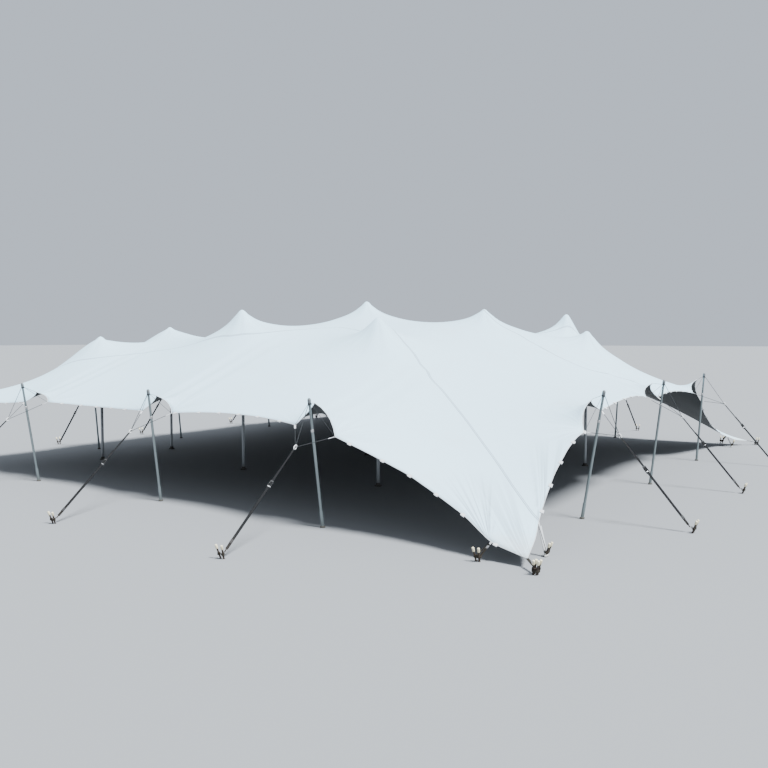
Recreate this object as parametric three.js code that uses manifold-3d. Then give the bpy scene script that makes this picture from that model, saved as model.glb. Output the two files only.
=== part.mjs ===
// Stretch tent, about 20 m square, on ten inner poles and twelve side poles.
// Millimetres, +Z up. Ground level is z = 0 and the tent's middle is x = y = 0.
// The front hem faces -Y and the right hem faces +X. Three corners are staked to the
// ground, and the front left one is raised on a pole of its own.
import * as THREE from "three";
import { mergeVertices } from "three/addons/utils/BufferGeometryUtils.js";
import Module from "manifold-3d";

// Canopy plan: corner tips, size of a hem notch and places of the corner pegs.
const CORNER = 9900;
const CANOPY_THICK = 6;
const STRIP_GAP = 0.3;
const SEAT_GAP = 0.5;
const NOTCH_HALF = 530;
const PEG_X = 9180;
const PEG_Y = 9000;
const LINE_STEP = 520;

// Hem from a corner tip to the first notch. A row is
// [part of the way, inward offset, height]; the notch itself is the last row.
const LONG_LEG = [
  [0, 0, 170],
  [0.166, 50, 333],
  [0.235, 120, 515],
  [0.304, 180, 715],
  [0.464, 300, 1030],
  [0.614, 350, 1335],
  [0.819, 330, 1665],
];
const END_LEG = [
  [0, 0, 170],
  [0.154, 100, 400],
  [0.254, 200, 655],
  [0.396, 300, 960],
  [0.55, 360, 1350],
  [0.757, 400, 1740],
  [0.9, 410, 1930],
];
// The far right leg hangs further in than the near ones.
const FAR_LEG = [
  [0, 0, 170],
  [0.1, 300, 220],
  [0.263, 660, 484],
  [0.582, 700, 940],
  [0.875, 660, 1490],
];
const RAISED_LEG = [
  [0, 0, 2320],
  [0.25, 240, 2190],
  [0.5, 420, 2110],
  [0.75, 480, 2110],
];

// Side poles of the long hems and of the end hems: distance of the feet from the
// middle, height, then the guy's ring and stakes outward of the feet.
const LONG_ROW = {
  line: 9480,
  top: 2770,
  ringOut: 880,
  ringZ: 1805,
  stakeOut: 2940,
};
const END_ROW = {
  line: 9290,
  top: 2870,
  ringOut: 810,
  ringZ: 1900,
  stakeOut: 2360,
};
// The pole of the raised corner, along the diagonal.
const CORNER_ROW = {
  line: 13740,
  lean: 430,
  top: 2620,
  ringOut: 860,
  ringZ: 1700,
  stakeOut: 2560,
};

// Hems from their low end to their high end along X or Y. A notch has its place,
// inward offset, height before and after it, height of its point, and how far its
// pole leans outward.
// A bay has the inward offset and height of its middle.
const FRONT = {
  notches: [
    [-5050, 400, 2200, 2240, 2500, 430],
    [0, 330, 2200, 2200, 2600, 340],
    [5050, 170, 2170, 1990, 2660, 430],
  ],
  bays: [
    [570, 2190],
    [440, 2275],
  ],
  legs: [RAISED_LEG, LONG_LEG],
  row: LONG_ROW,
};
const BACK = {
  notches: [
    [-5050, 280, 1990, 2200, 2620, 430],
    [0, 300, 2200, 2200, 2620, 340],
    [5050, 280, 2200, 1990, 2620, 430],
  ],
  bays: [
    [500, 2260],
    [500, 2260],
  ],
  legs: [LONG_LEG, LONG_LEG],
  row: LONG_ROW,
};
const RIGHT = {
  notches: [
    [-5600, 400, 1995, 2380, 2680, 450],
    [-420, 600, 2410, 2360, 2770, 320],
    [4800, 640, 2240, 1920, 2655, 180],
  ],
  bays: [
    [420, 2550],
    [710, 2410],
  ],
  legs: [END_LEG, FAR_LEG],
  row: END_ROW,
};
const LEFT = {
  notches: [
    [-4300, 450, 2300, 2360, 2680, 320],
    [-420, 500, 2370, 2370, 2750, 320],
    [4800, 500, 2280, 1990, 2660, 320],
  ],
  bays: [
    [550, 2450],
    [650, 2420],
  ],
  legs: [RAISED_LEG, END_LEG],
  row: END_ROW,
};
const RELAX_ROUNDS = 900;
const RELAX_FACTOR = 1.8;

// Inner poles: name, foot x, foot y, top of the canopy above it, and the distance
// within which the stretched fabric round it is tighter.
const INNER_POLES = [
  ["king_pole_1", 3270, -4810, 4560, 300],
  ["king_pole_2", -1700, -4800, 4850, 300],
  ["king_pole_3", -7020, -5860, 4050, 800],
  ["king_pole_4", 3900, 150, 4900, 300],
  ["king_pole_5", -440, -70, 5240, 300],
  ["king_pole_6", -7110, -2840, 4390, 800],
  ["king_pole_7", 4440, 5630, 4860, 300],
  ["king_pole_8", -1400, 5500, 4450, 300],
  ["king_pole_9", -6700, 4700, 4250, 300],
  ["king_pole_10", 6660, 1700, 4215, 300],
];
const HEAD_REACH = 250;
const KING_RADIUS = 45;
const KING_BASE_RADIUS = 100;
const KING_BASE_HEIGHT = 95;
const KING_HEAD_HEIGHT = 180;

// Side poles: leaning tubes with a rubber foot and a cap.
const SIDE_POLE_RADIUS = 30;
const SIDE_FOOT_RADIUS = 55;
const SIDE_FOOT_HEIGHT = 40;
const SIDE_CAP_RADIUS = 38;
const SIDE_CAP_HEIGHT = 50;

// Guy sets: rope bridle, webbing strap, ratchet, hook and two stakes.
const ROPE_RADIUS = 7;
const THIN_ROPE_RADIUS = 5;
const COLLAR_INNER = 31;
const COLLAR_OUTER = 46;
const TAB_SIZE = [40, 14, 60];
const STRAP_WIDTH = 45;
const STRAP_THICK = 6;
const RATCHET_AT = 0.36;
const RATCHET_SIZE = [70, 150, 60];
const STAKE_RADIUS = 15;
const STAKE_HEIGHT = 270;
const STAKE_LEAN = 90;
const STAKE_SPREAD = 42;
const STAKE_HEAD_RADIUS = 22;
const STAKE_HEAD_LENGTH = 80;
const HOOK_Z = 95;

// Corner anchors: a group of three stakes at the tip and pegs each side of it.
const TIP_STAKE = 10170;
const PEG_OUT = 150;
const PEG_BACK = 190;
const PEG_STRAP = 60;

const WHITE_FABRIC = [0xeef1f3, 0.85, 0];
const ALUMINIUM = [0xb9bcbe, 0.42, 0.9];
const STEEL = [0x9a9da0, 0.45, 0.9];
const WEBBING = [0x1d1e20, 0.8, 0];

const wasm = await Module();
wasm.setup();
const group = new THREE.Group();

// A geometry as a solid that can be joined with others.
function solid(geometry) {
  const bare = geometry.clone();
  bare.deleteAttribute("normal");
  bare.deleteAttribute("uv");
  const merged = mergeVertices(bare, 1e-4);
  const mesh = new wasm.Mesh({
    numProp: 3,
    vertProperties: new Float32Array(merged.attributes.position.array),
    triVerts: new Uint32Array(merged.index.array),
  });
  return new wasm.Manifold(mesh);
}

// A solid back as a geometry.
function geometryOf(made) {
  const mesh = made.getMesh();
  const geometry = new THREE.BufferGeometry();
  geometry.setAttribute(
    "position",
    new THREE.BufferAttribute(mesh.vertProperties, 3),
  );
  geometry.setIndex(new THREE.BufferAttribute(mesh.triVerts, 1));
  return geometry;
}

// A named piece added to the tent.
function addPiece(name, geometry, look) {
  const material = new THREE.MeshStandardMaterial({
    color: look[0],
    roughness: look[1],
    metalness: look[2],
  });
  const mesh = new THREE.Mesh(geometry, material);
  mesh.name = name;
  group.add(mesh);
}

// One solid from a list of overlapping solids.
function joined(parts) {
  return parts.reduce((whole, part) => whole.add(part));
}

// A round bar between two points.
function bar(from, to, radius, sides, topRadius = radius) {
  const a = new THREE.Vector3(...from);
  const b = new THREE.Vector3(...to);
  const along = b.clone().sub(a);
  const round = new THREE.CylinderGeometry(
    topRadius,
    radius,
    along.length(),
    sides,
  );
  const turn = new THREE.Quaternion().setFromUnitVectors(
    new THREE.Vector3(0, 1, 0),
    along.clone().normalize(),
  );
  round.applyQuaternion(turn);
  const middle = a.clone().add(b).multiplyScalar(0.5);
  round.translate(middle.x, middle.y, middle.z);
  return solid(round);
}

// A flat band between two points, its width level and square to its run.
function band(from, to, width, thick) {
  const a = new THREE.Vector3(...from);
  const b = new THREE.Vector3(...to);
  const along = b.clone().sub(a);
  const length = along.length();
  along.normalize();
  const across = new THREE.Vector3(0, 0, 1).cross(along).normalize();
  const up = along.clone().cross(across);
  const box = new THREE.BoxGeometry(length, width, thick);
  const place = new THREE.Matrix4().makeBasis(along, across, up);
  const middle = a.clone().add(b).multiplyScalar(0.5);
  place.setPosition(middle);
  box.applyMatrix4(place);
  return solid(box);
}

// A block on a side of the tent: size along the side, outward and up.
function block(angle, along, out, z, size) {
  const box = new THREE.BoxGeometry(...size);
  box.rotateZ(angle);
  box.translate(...onSide(angle, along, out, z));
  return solid(box);
}

// A point part of the way from one point to another.
function between(a, b, part) {
  return a.map((value, i) => value + (b[i] - value) * part);
}

// Inward offset and height in a leg table at a part of the way along it.
function onLeg(table, part) {
  for (let i = 1; i < table.length; i += 1) {
    const [a, inA, zA] = table[i - 1];
    const [b, inB, zB] = table[i];
    if (part <= b) {
      const step = (part - a) / (b - a);
      return [inA + (inB - inA) * step, zA + (zB - zA) * step];
    }
  }
  const last = table[table.length - 1];
  return [last[1], last[2]];
}

// Inward offset and height of a hem at a place along it.
function hem(side, place) {
  const [first, , last] = side.notches;
  const lowEnd = first[0] - NOTCH_HALF;
  const highEnd = last[0] + NOTCH_HALF;
  if (place < lowEnd) {
    const leg = [...side.legs[0], [1, first[1], first[2]]];
    return onLeg(leg, (place + CORNER) / (lowEnd + CORNER));
  }
  if (place > highEnd) {
    const leg = [...side.legs[1], [1, last[1], last[3]]];
    return onLeg(leg, (CORNER - place) / (CORNER - highEnd));
  }
  for (const [pole, inward, before, after, top] of side.notches) {
    const off = place - pole;
    if (Math.abs(off) > NOTCH_HALF) continue;
    const low = off < 0 ? before : after;
    return [inward, top + ((low - top) * Math.abs(off)) / NOTCH_HALF];
  }
  const k = place < side.notches[1][0] ? 0 : 1;
  const [a, b] = [side.notches[k], side.notches[k + 1]];
  const part = (place - a[0] - NOTCH_HALF) / (b[0] - a[0] - 2 * NOTCH_HALF);
  const bow = 4 * part * (1 - part);
  const bowed = (from, to, middle) =>
    from + (to - from) * part + (middle - (from + to) / 2) * bow;
  const [midIn, midZ] = side.bays[k];
  return [bowed(a[1], b[1], midIn), bowed(a[3], b[2], midZ)];
}

// Places of the canopy's cross lines between two opposite hems: every notch point,
// notch end and peg is on a line.
function crossLines(sides, peg) {
  const marks = [-CORNER, -peg, peg, CORNER];
  for (const side of sides) {
    for (const [pole] of side.notches) {
      marks.push(pole - NOTCH_HALF, pole, pole + NOTCH_HALF);
    }
  }
  marks.sort((a, b) => a - b);
  const places = [-CORNER];
  for (let i = 1; i < marks.length; i += 1) {
    const gap = marks[i] - marks[i - 1];
    if (gap < 1) continue;
    const steps = Math.max(1, Math.round(gap / LINE_STEP));
    for (let k = 1; k <= steps; k += 1) {
      places.push(marks[i - 1] + (gap * k) / steps);
    }
  }
  return places;
}

// The canopy's middle surface as a grid of points, its edge fixed to the hem.
const linesX = crossLines([FRONT, BACK], PEG_X);
const linesY = crossLines([RIGHT, LEFT], PEG_Y);
const countX = linesX.length;
const countY = linesY.length;

function planPoint(i, j) {
  const x = linesX[i];
  const y = linesY[j];
  const inX = hem(x < 0 ? LEFT : RIGHT, y)[0];
  const inY = hem(y < 0 ? FRONT : BACK, x)[0];
  return [
    x * (1 - (inX * Math.abs(x)) / (CORNER * CORNER)),
    y * (1 - (inY * Math.abs(y)) / (CORNER * CORNER)),
  ];
}

const plan = linesX.map((_, i) => linesY.map((__, j) => planPoint(i, j)));
const height = linesX.map(() => linesY.map(() => 2800));
const fixed = linesX.map(() => linesY.map(() => false));
const fix = (i, j, z) => {
  height[i][j] = z;
  fixed[i][j] = true;
};
linesX.forEach((x, i) => {
  fix(i, 0, hem(FRONT, x)[1]);
  fix(i, countY - 1, hem(BACK, x)[1]);
});
linesY.forEach((y, j) => {
  fix(0, j, hem(LEFT, y)[1]);
  fix(countX - 1, j, hem(RIGHT, y)[1]);
});

// Each inner pole draws the nearest crossing of lines over itself.
const headAt = new Map();
for (const [name, px, py, top] of INNER_POLES) {
  let best = [0, 0, Infinity];
  for (let i = 1; i < countX - 1; i += 1) {
    for (let j = 1; j < countY - 1; j += 1) {
      const far = Math.hypot(plan[i][j][0] - px, plan[i][j][1] - py);
      if (far < best[2]) best = [i, j, far];
    }
  }
  const [bi, bj] = best;
  const shiftX = px - plan[bi][bj][0];
  const shiftY = py - plan[bi][bj][1];
  const centre = plan[bi][bj].slice();
  for (let i = 1; i < countX - 1; i += 1) {
    for (let j = 1; j < countY - 1; j += 1) {
      const dx = plan[i][j][0] - centre[0];
      const dy = plan[i][j][1] - centre[1];
      const pull = Math.exp(-(dx * dx + dy * dy) / (2 * 700 * 700));
      plan[i][j][0] += shiftX * pull;
      plan[i][j][1] += shiftY * pull;
    }
  }
  fix(bi, bj, top);
  headAt.set(name, [bi, bj]);
}

// How tight the fabric is at a crossing: tighter towards an inner pole's head.
function tightness(i, j) {
  let most = 1;
  for (const [, x, y, , reach] of INNER_POLES) {
    const away = Math.hypot(plan[i][j][0] - x, plan[i][j][1] - y);
    most = Math.max(most, reach / Math.max(away, HEAD_REACH));
  }
  return most;
}
const tight = linesX.map((_, i) => linesY.map((__, j) => tightness(i, j)));

// How strongly two neighbouring points pull on each other: width over length.
function pullOf(i, j, di, dj) {
  const a = plan[i][j];
  const b = plan[i + di][j + dj];
  const length = Math.hypot(a[0] - b[0], a[1] - b[1]);
  const [si, sj] = di ? [0, 1] : [1, 0];
  const c = plan[i + si][j + sj];
  const d = plan[i - si][j - sj];
  const width = Math.hypot(c[0] - d[0], c[1] - d[1]) / 2;
  return (((tight[i][j] + tight[i + di][j + dj]) / 2) * width) / length;
}

for (let round = 0; round < RELAX_ROUNDS; round += 1) {
  for (let i = 1; i < countX - 1; i += 1) {
    for (let j = 1; j < countY - 1; j += 1) {
      if (fixed[i][j]) continue;
      let sum = 0;
      let weight = 0;
      for (const [di, dj] of [
        [1, 0],
        [-1, 0],
        [0, 1],
        [0, -1],
      ]) {
        const pull = pullOf(i, j, di, dj);
        sum += pull * height[i + di][j + dj];
        weight += pull;
      }
      height[i][j] += RELAX_FACTOR * (sum / weight - height[i][j]);
    }
  }
}

function surfacePoint(i, j) {
  const [x, y] = plan[i][j];
  return new THREE.Vector3(x, y, height[i][j]);
}

// Upward direction of the canopy at a crossing.
function upAt(i, j) {
  const a = surfacePoint(Math.min(i + 1, countX - 1), j);
  const b = surfacePoint(Math.max(i - 1, 0), j);
  const c = surfacePoint(i, Math.min(j + 1, countY - 1));
  const d = surfacePoint(i, Math.max(j - 1, 0));
  return a.sub(b).cross(c.sub(d)).normalize();
}

// One strip of the canopy, from line j0 to line j1, as a closed thin solid.
function canopyStrip(name, j0, j1) {
  const rows = j1 - j0 + 1;
  const positions = [];
  for (const side of [1, -1]) {
    for (let i = 0; i < countX; i += 1) {
      for (let j = j0; j <= j1; j += 1) {
        const point = surfacePoint(i, j);
        point.addScaledVector(upAt(i, j), (side * CANOPY_THICK) / 2);
        if (j === j0 && j0 > 0) point.y += STRIP_GAP / 2;
        if (j === j1 && j1 < countY - 1) point.y -= STRIP_GAP / 2;
        positions.push(point.x, point.y, point.z);
      }
    }
  }
  const under = countX * rows;
  const index = [];
  const quad = (a, b, c, d) => index.push(a, b, c, a, c, d);
  for (let i = 0; i < countX - 1; i += 1) {
    for (let j = 0; j < rows - 1; j += 1) {
      const a = i * rows + j;
      const b = a + rows;
      quad(a, b, b + 1, a + 1);
      quad(under + a, under + a + 1, under + b + 1, under + b);
    }
  }
  for (let i = 0; i < countX - 1; i += 1) {
    const a = i * rows;
    const b = a + rows;
    quad(a, under + a, under + b, b);
    const c = a + rows - 1;
    const d = c + rows;
    quad(c, d, under + d, under + c);
  }
  for (let j = 0; j < rows - 1; j += 1) {
    quad(j, j + 1, under + j + 1, under + j);
    const a = (countX - 1) * rows + j;
    quad(a, under + a, under + a + 1, a + 1);
  }
  const geometry = new THREE.BufferGeometry();
  geometry.setAttribute(
    "position",
    new THREE.Float32BufferAttribute(positions, 3),
  );
  geometry.setIndex(index);
  addPiece(name, geometry, WHITE_FABRIC);
}

const seams = RIGHT.notches.map(([place]) => linesY.indexOf(place));
const cuts = [0, ...seams, countY - 1];
for (let k = 0; k < cuts.length - 1; k += 1) {
  canopyStrip("canopy_strip_" + (k + 1), cuts[k], cuts[k + 1]);
}

// An inner pole: wide flat foot, round tube and a soft rounded head.
function innerPole(name, x, y) {
  const [i, j] = headAt.get(name);
  const under = surfacePoint(i, j).addScaledVector(upAt(i, j), -CANOPY_THICK / 2);
  const aside = Math.hypot(under.x - x, under.y - y);
  const headTop = under.z - SEAT_GAP - 1.6 * aside;
  const shoulder = headTop - KING_HEAD_HEIGHT;
  const profile = [
    [0, 0],
    [KING_BASE_RADIUS, 0],
    [KING_BASE_RADIUS, 25],
    [KING_BASE_RADIUS * 0.62, KING_BASE_HEIGHT],
    [KING_RADIUS, KING_BASE_HEIGHT],
    [KING_RADIUS, shoulder],
    [KING_RADIUS * 0.7, headTop - 110],
    [KING_RADIUS * 0.35, headTop - 50],
    [0, headTop],
  ].map(([r, z]) => new THREE.Vector2(r, z));
  const turned = new THREE.LatheGeometry(profile, 12);
  turned.rotateX(Math.PI / 2);
  turned.translate(x, y, 0);
  addPiece(name, geometryOf(solid(turned)), ALUMINIUM);
}

for (const [name, x, y] of INNER_POLES) {
  innerPole(name, x, y);
}

// The four sides: each turns a local frame whose +Y points out of the tent.
// A side whose own along direction runs against X or Y has its places turned round.
const SIDES = [
  { hem: FRONT, angle: Math.PI, turn: -1, places: linesX, edge: 0 },
  { hem: RIGHT, angle: -Math.PI / 2, turn: -1, places: linesY, edge: countX - 1 },
  { hem: BACK, angle: 0, turn: 1, places: linesX, edge: countY - 1 },
  { hem: LEFT, angle: Math.PI / 2, turn: 1, places: linesY, edge: 0 },
];
const RAISED_ANGLE = (3 * Math.PI) / 4;

// A point of a side's own frame (along the side, outward, up) in the tent's frame.
function onSide(angle, along, out, z) {
  const cos = Math.cos(angle);
  const sin = Math.sin(angle);
  return [along * cos - out * sin, along * sin + out * cos, z];
}

// How far out the canopy's edge reaches near a place on a side, and its height there.
function rim(side, place, reach) {
  const outward = new THREE.Vector3(...onSide(side.angle, 0, 1, 0));
  const extent = (k) => {
    const [i, j] = side.places === linesX ? [k, side.edge] : [side.edge, k];
    const point = surfacePoint(i, j);
    const tilt = Math.abs(upAt(i, j).dot(outward));
    return [point.dot(outward) + (CANOPY_THICK / 2) * tilt, point.z];
  };
  const k = side.places.findIndex((other) => Math.abs(other - place) < 1);
  const [out, z] = extent(k);
  let most = out;
  for (const next of [k - 1, k + 1]) {
    const part = reach / Math.abs(side.places[next] - place);
    most = Math.max(most, out + (extent(next)[0] - out) * part);
  }
  return [most, z];
}

// A webbing tab just outside the hem at a place on a side, and its middle.
function hemTab(side, place, half = 0) {
  const [out, z] = rim(side, place, TAB_SIZE[0] / 2);
  const tabOut = out + SEAT_GAP + TAB_SIZE[1] / 2;
  const along = side.turn * place;
  const size = [TAB_SIZE[0], TAB_SIZE[1], TAB_SIZE[2] + half];
  return [
    block(side.angle, along, tabOut, z, size),
    onSide(side.angle, along, tabOut, z),
  ];
}

// Foot and head of a leaning side pole's tube.
function poleLine(row, angle, along) {
  return [
    onSide(angle, along, row.line, SIDE_FOOT_HEIGHT * 0.6),
    onSide(angle, along, row.line + row.lean, row.top - SIDE_CAP_HEIGHT),
  ];
}

function sidePole(name, row, angle, along) {
  const foot = onSide(angle, along, row.line, 0);
  const [low, high] = poleLine(row, angle, along);
  const capPart = SIDE_CAP_HEIGHT / row.top;
  const neck = between(low, high, 1 - capPart);
  const brow = between(low, high, 1 + 0.5 * capPart);
  const lift = between(low, high, 1 + capPart);
  const shoe = [foot[0], foot[1], SIDE_FOOT_HEIGHT];
  const parts = [
    bar(foot, shoe, SIDE_FOOT_RADIUS, 12),
    bar(low, high, SIDE_POLE_RADIUS, 10),
    bar(neck, brow, SIDE_CAP_RADIUS, 12),
    bar(brow, lift, SIDE_CAP_RADIUS, 12, SIDE_CAP_RADIUS * 0.6),
  ];
  addPiece(name, geometryOf(joined(parts)), ALUMINIUM);
}

// A stake from the ground up, leaning away from the tent, with a rounded head.
function stakeSolid(angle, along, out, side) {
  const foot = onSide(angle, along + side * STAKE_SPREAD, out, 0);
  const under = onSide(angle, along + side * STAKE_SPREAD, out, 12);
  const top = onSide(
    angle,
    along + side * STAKE_SPREAD * 1.7,
    out + STAKE_LEAN,
    STAKE_HEIGHT,
  );
  const neck = between(under, top, 1 - STAKE_HEAD_LENGTH / STAKE_HEIGHT);
  const disc = [foot[0], foot[1], 22];
  return [
    bar(foot, disc, STAKE_RADIUS * 1.4, 6),
    bar(under, top, STAKE_RADIUS, 6),
    bar(neck, top, STAKE_HEAD_RADIUS, 6),
  ];
}

// The middle of a leaning stake at a height above the ground.
function stakeAt(angle, along, out, side, z) {
  const part = z / STAKE_HEIGHT;
  const spread = side * STAKE_SPREAD * (1 + 0.7 * part);
  return onSide(angle, along + spread, out + STAKE_LEAN * part, z);
}

// The rope collar round a side pole under its cap, and points within it where ropes
// leave: outward, inward and to each side.
function collar(row, angle, along) {
  const [low, high] = poleLine(row, angle, along);
  const capPart = SIDE_CAP_HEIGHT / row.top;
  const a = between(low, high, 1 - 1.75 * capPart);
  const b = between(low, high, 1 - 1.25 * capPart);
  const hole = bar(between(a, b, -1), between(a, b, 2), COLLAR_INNER, 16);
  const ring = bar(a, b, COLLAR_OUTER, 12).subtract(hole);
  const middle = between(a, b, 0.5);
  const offset = (COLLAR_INNER + COLLAR_OUTER) / 2;
  const leaning = Math.atan2(row.lean, high[2] - low[2]);
  const shifted = (across, outward) => {
    const out = outward * offset * Math.cos(leaning);
    const up = -outward * offset * Math.sin(leaning);
    return onSide(angle, across * offset, out, up).map((v, k) => v + middle[k]);
  };
  return [ring, shifted];
}

// Ring, strap, ratchet, hook and the pair of stakes that a guy ends at.
function guyStrap(row, angle, along) {
  const ring = onSide(angle, along, row.line + row.ringOut, row.ringZ);
  const stakeOut = row.line + row.stakeOut;
  const hookEnd = onSide(angle, along, stakeOut - 40, HOOK_Z);
  const ratchet = between(ring, hookEnd, RATCHET_AT);
  const ratchetEnd = between(ring, hookEnd, RATCHET_AT + 0.07);
  const barA = stakeAt(angle, along, stakeOut, -1, HOOK_Z);
  const barB = stakeAt(angle, along, stakeOut, 1, HOOK_Z);
  return [
    band(ring, hookEnd, STRAP_WIDTH, STRAP_THICK),
    band(ratchet, ratchetEnd, RATCHET_SIZE[0], RATCHET_SIZE[2]),
    ...stakeSolid(angle, along, stakeOut, -1),
    ...stakeSolid(angle, along, stakeOut, 1),
    bar(barA, barB, 11, 6),
    bar(between(ring, hookEnd, 0.98), between(barA, barB, 0.5), 12, 8),
  ];
}

// A guy set: a collar on the side pole, ropes from it to the notch's point and low
// ends and to the ring, ropes from the low ends to the ring, then strap and stakes.
function guySet(name, side, row, place) {
  const along = side.turn * place;
  const ring = onSide(side.angle, along, row.line + row.ringOut, row.ringZ);
  const [collarRing, leave] = collar(row, side.angle, along);
  const rope = leave(0, 1);
  const [point, pointMiddle] = hemTab(side, place, -36);
  const parts = [
    collarRing,
    bar(ring, rope, ROPE_RADIUS, 5),
    bar(between(ring, rope, -0.03), between(ring, rope, 0.06), 22, 8),
    point,
    bar(leave(0, -1), pointMiddle, THIN_ROPE_RADIUS, 5),
    ...guyStrap(row, side.angle, along),
  ];
  for (const way of [-1, 1]) {
    const [tab, middle] = hemTab(side, place + side.turn * way * NOTCH_HALF);
    parts.push(tab);
    parts.push(bar(ring, middle, ROPE_RADIUS, 5));
    parts.push(bar(leave(way, 0), middle, THIN_ROPE_RADIUS, 5));
  }
  addPiece(name, geometryOf(joined(parts)), WEBBING);
}

let number = 0;
for (const side of SIDES) {
  for (const [place, , , , , lean] of side.hem.notches) {
    number += 1;
    const row = { ...side.hem.row, lean };
    sidePole("side_pole_" + number, row, side.angle, side.turn * place);
    guySet("guy_set_" + number, side, row, place);
  }
}

// The raised corner's guy: its pole's collar holds the tip, and ropes from the two
// hems beside the tip meet at the ring.
function cornerGuy(name) {
  const row = CORNER_ROW;
  const ring = onSide(RAISED_ANGLE, 0, row.line + row.ringOut, row.ringZ);
  const [collarRing, leave] = collar(row, RAISED_ANGLE, 0);
  const rope = leave(0, 1);
  const [block, middle] = tipTab(RAISED_ANGLE);
  const parts = [
    collarRing,
    bar(ring, rope, ROPE_RADIUS, 5),
    bar(between(ring, rope, -0.03), between(ring, rope, 0.06), 22, 8),
    block,
    bar(leave(0, -1), middle, ROPE_RADIUS, 5),
    ...guyStrap(row, RAISED_ANGLE, 0),
  ];
  for (const [side, place] of [
    [SIDES[0], -PEG_X],
    [SIDES[3], -PEG_Y],
  ]) {
    const [tab, hold] = hemTab(side, place);
    parts.push(tab);
    parts.push(bar(ring, hold, ROPE_RADIUS, 5));
  }
  addPiece(name, geometryOf(joined(parts)), WEBBING);
}

// A webbing tab just outside a corner tip, and its middle.
function tipTab(angle) {
  const outward = new THREE.Vector3(...onSide(angle, 0, 1, 0));
  const i = outward.x > 0 ? countX - 1 : 0;
  const j = outward.y > 0 ? countY - 1 : 0;
  const tip = surfacePoint(i, j);
  const tilt = Math.abs(upAt(i, j).dot(outward));
  const edge = tip.dot(outward) + (CANOPY_THICK / 2) * tilt;
  const tabOut = edge + SEAT_GAP + TAB_SIZE[1] / 2;
  return [block(angle, 0, tabOut, tip.z, TAB_SIZE), onSide(angle, 0, tabOut, tip.z)];
}

sidePole("corner_pole", CORNER_ROW, RAISED_ANGLE, 0);
cornerGuy("corner_guy");

// Corner anchor: three stakes past the tip and a short strap up to it.
function cornerAnchor(name, angle) {
  const reach = TIP_STAKE * Math.SQRT2;
  const [tab, tip] = tipTab(angle);
  const hold = onSide(angle, 0, reach, 110);
  const barA = stakeAt(angle, 0, reach, -1.2, 110);
  const barB = stakeAt(angle, 0, reach, 1.2, 110);
  const back = stakeAt(angle, 0, reach + 60, 0, 110);
  const parts = [
    tab,
    band(tip, hold, 36, 8),
    ...stakeSolid(angle, 0, reach, -1.2),
    ...stakeSolid(angle, 0, reach, 1.2),
    ...stakeSolid(angle, 0, reach + 60, 0),
    bar(barA, barB, 11, 6),
    bar(hold, back, 11, 8),
  ];
  addPiece(name, geometryOf(joined(parts)), WEBBING);
}

// Corner peg: two stakes beside the corner with a wide strap up to the hem.
function cornerPeg(name, side, place, back) {
  const [tab, top] = hemTab(side, place, 30);
  const along = side.turn * (place - Math.sign(place) * back);
  const out = rim(side, place, TAB_SIZE[0] / 2)[0] + PEG_OUT;
  const barA = stakeAt(side.angle, along, out, -0.8, HOOK_Z);
  const barB = stakeAt(side.angle, along, out, 0.8, HOOK_Z);
  const parts = [
    tab,
    band(top, between(barA, barB, 0.5), PEG_STRAP, 6),
    bar(barA, barB, 11, 6),
    ...stakeSolid(side.angle, along, out, -0.8),
    ...stakeSolid(side.angle, along, out, 0.8),
  ];
  addPiece(name, geometryOf(joined(parts)), STEEL);
}

for (const k of [1, 2, 3]) {
  cornerAnchor("corner_anchor_" + k, SIDES[k].angle - Math.PI / 4);
}
cornerPeg("corner_peg_1", SIDES[0], PEG_X, PEG_BACK);
cornerPeg("corner_peg_2", SIDES[1], -PEG_Y, 0);
cornerPeg("corner_peg_3", SIDES[1], PEG_Y, 0);
cornerPeg("corner_peg_4", SIDES[2], PEG_X, PEG_BACK);
cornerPeg("corner_peg_5", SIDES[2], -PEG_X, PEG_BACK);
cornerPeg("corner_peg_6", SIDES[3], PEG_Y, 0);

export default group;
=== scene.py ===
"""Looks of a large white stretch tent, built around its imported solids.

The canopy is one sheet of stretch fabric on inner king poles, with its hem cut
up into notches at leaning side poles. Everything is in metres, ground at z = 0,
the front hem towards -Y and the right end hem towards +X.
"""

from __future__ import annotations

import logging
import math
from collections.abc import Callable, Mapping, Sequence
from dataclasses import dataclass, field, replace
from enum import Enum

import bmesh
import bpy
import numpy as np
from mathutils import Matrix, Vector


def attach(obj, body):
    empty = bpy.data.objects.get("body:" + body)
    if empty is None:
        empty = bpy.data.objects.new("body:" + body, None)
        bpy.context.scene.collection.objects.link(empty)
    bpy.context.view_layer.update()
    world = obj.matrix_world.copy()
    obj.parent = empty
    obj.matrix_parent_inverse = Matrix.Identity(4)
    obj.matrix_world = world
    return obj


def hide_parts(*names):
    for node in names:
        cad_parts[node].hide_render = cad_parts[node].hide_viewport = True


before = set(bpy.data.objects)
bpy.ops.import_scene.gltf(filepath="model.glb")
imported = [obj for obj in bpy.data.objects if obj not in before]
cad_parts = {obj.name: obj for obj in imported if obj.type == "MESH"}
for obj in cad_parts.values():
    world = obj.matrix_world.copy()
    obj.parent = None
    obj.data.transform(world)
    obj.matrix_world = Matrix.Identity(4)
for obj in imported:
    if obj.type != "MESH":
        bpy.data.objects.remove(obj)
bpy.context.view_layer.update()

LOG = logging.getLogger("stretch_tent")
ROOT = "root"
UP = np.array([0.0, 0.0, 1.0])
TINY = 1e-12

# The canopy's square plan, its grounded tips and the notches in its hem.
CORNER = 9.9
TIP_REACH = CORNER * math.sqrt(2)
TIP_HEIGHT = 0.17
NOTCH_HALF = 0.53
NOTCH_BOW = 0.32
NOTCH_SCOOP = 0.12
LEG_STEPS = 401
LEG_WINDOW = 45
EDGE = 1e-4
HEM_GAP = 0.006

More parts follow.
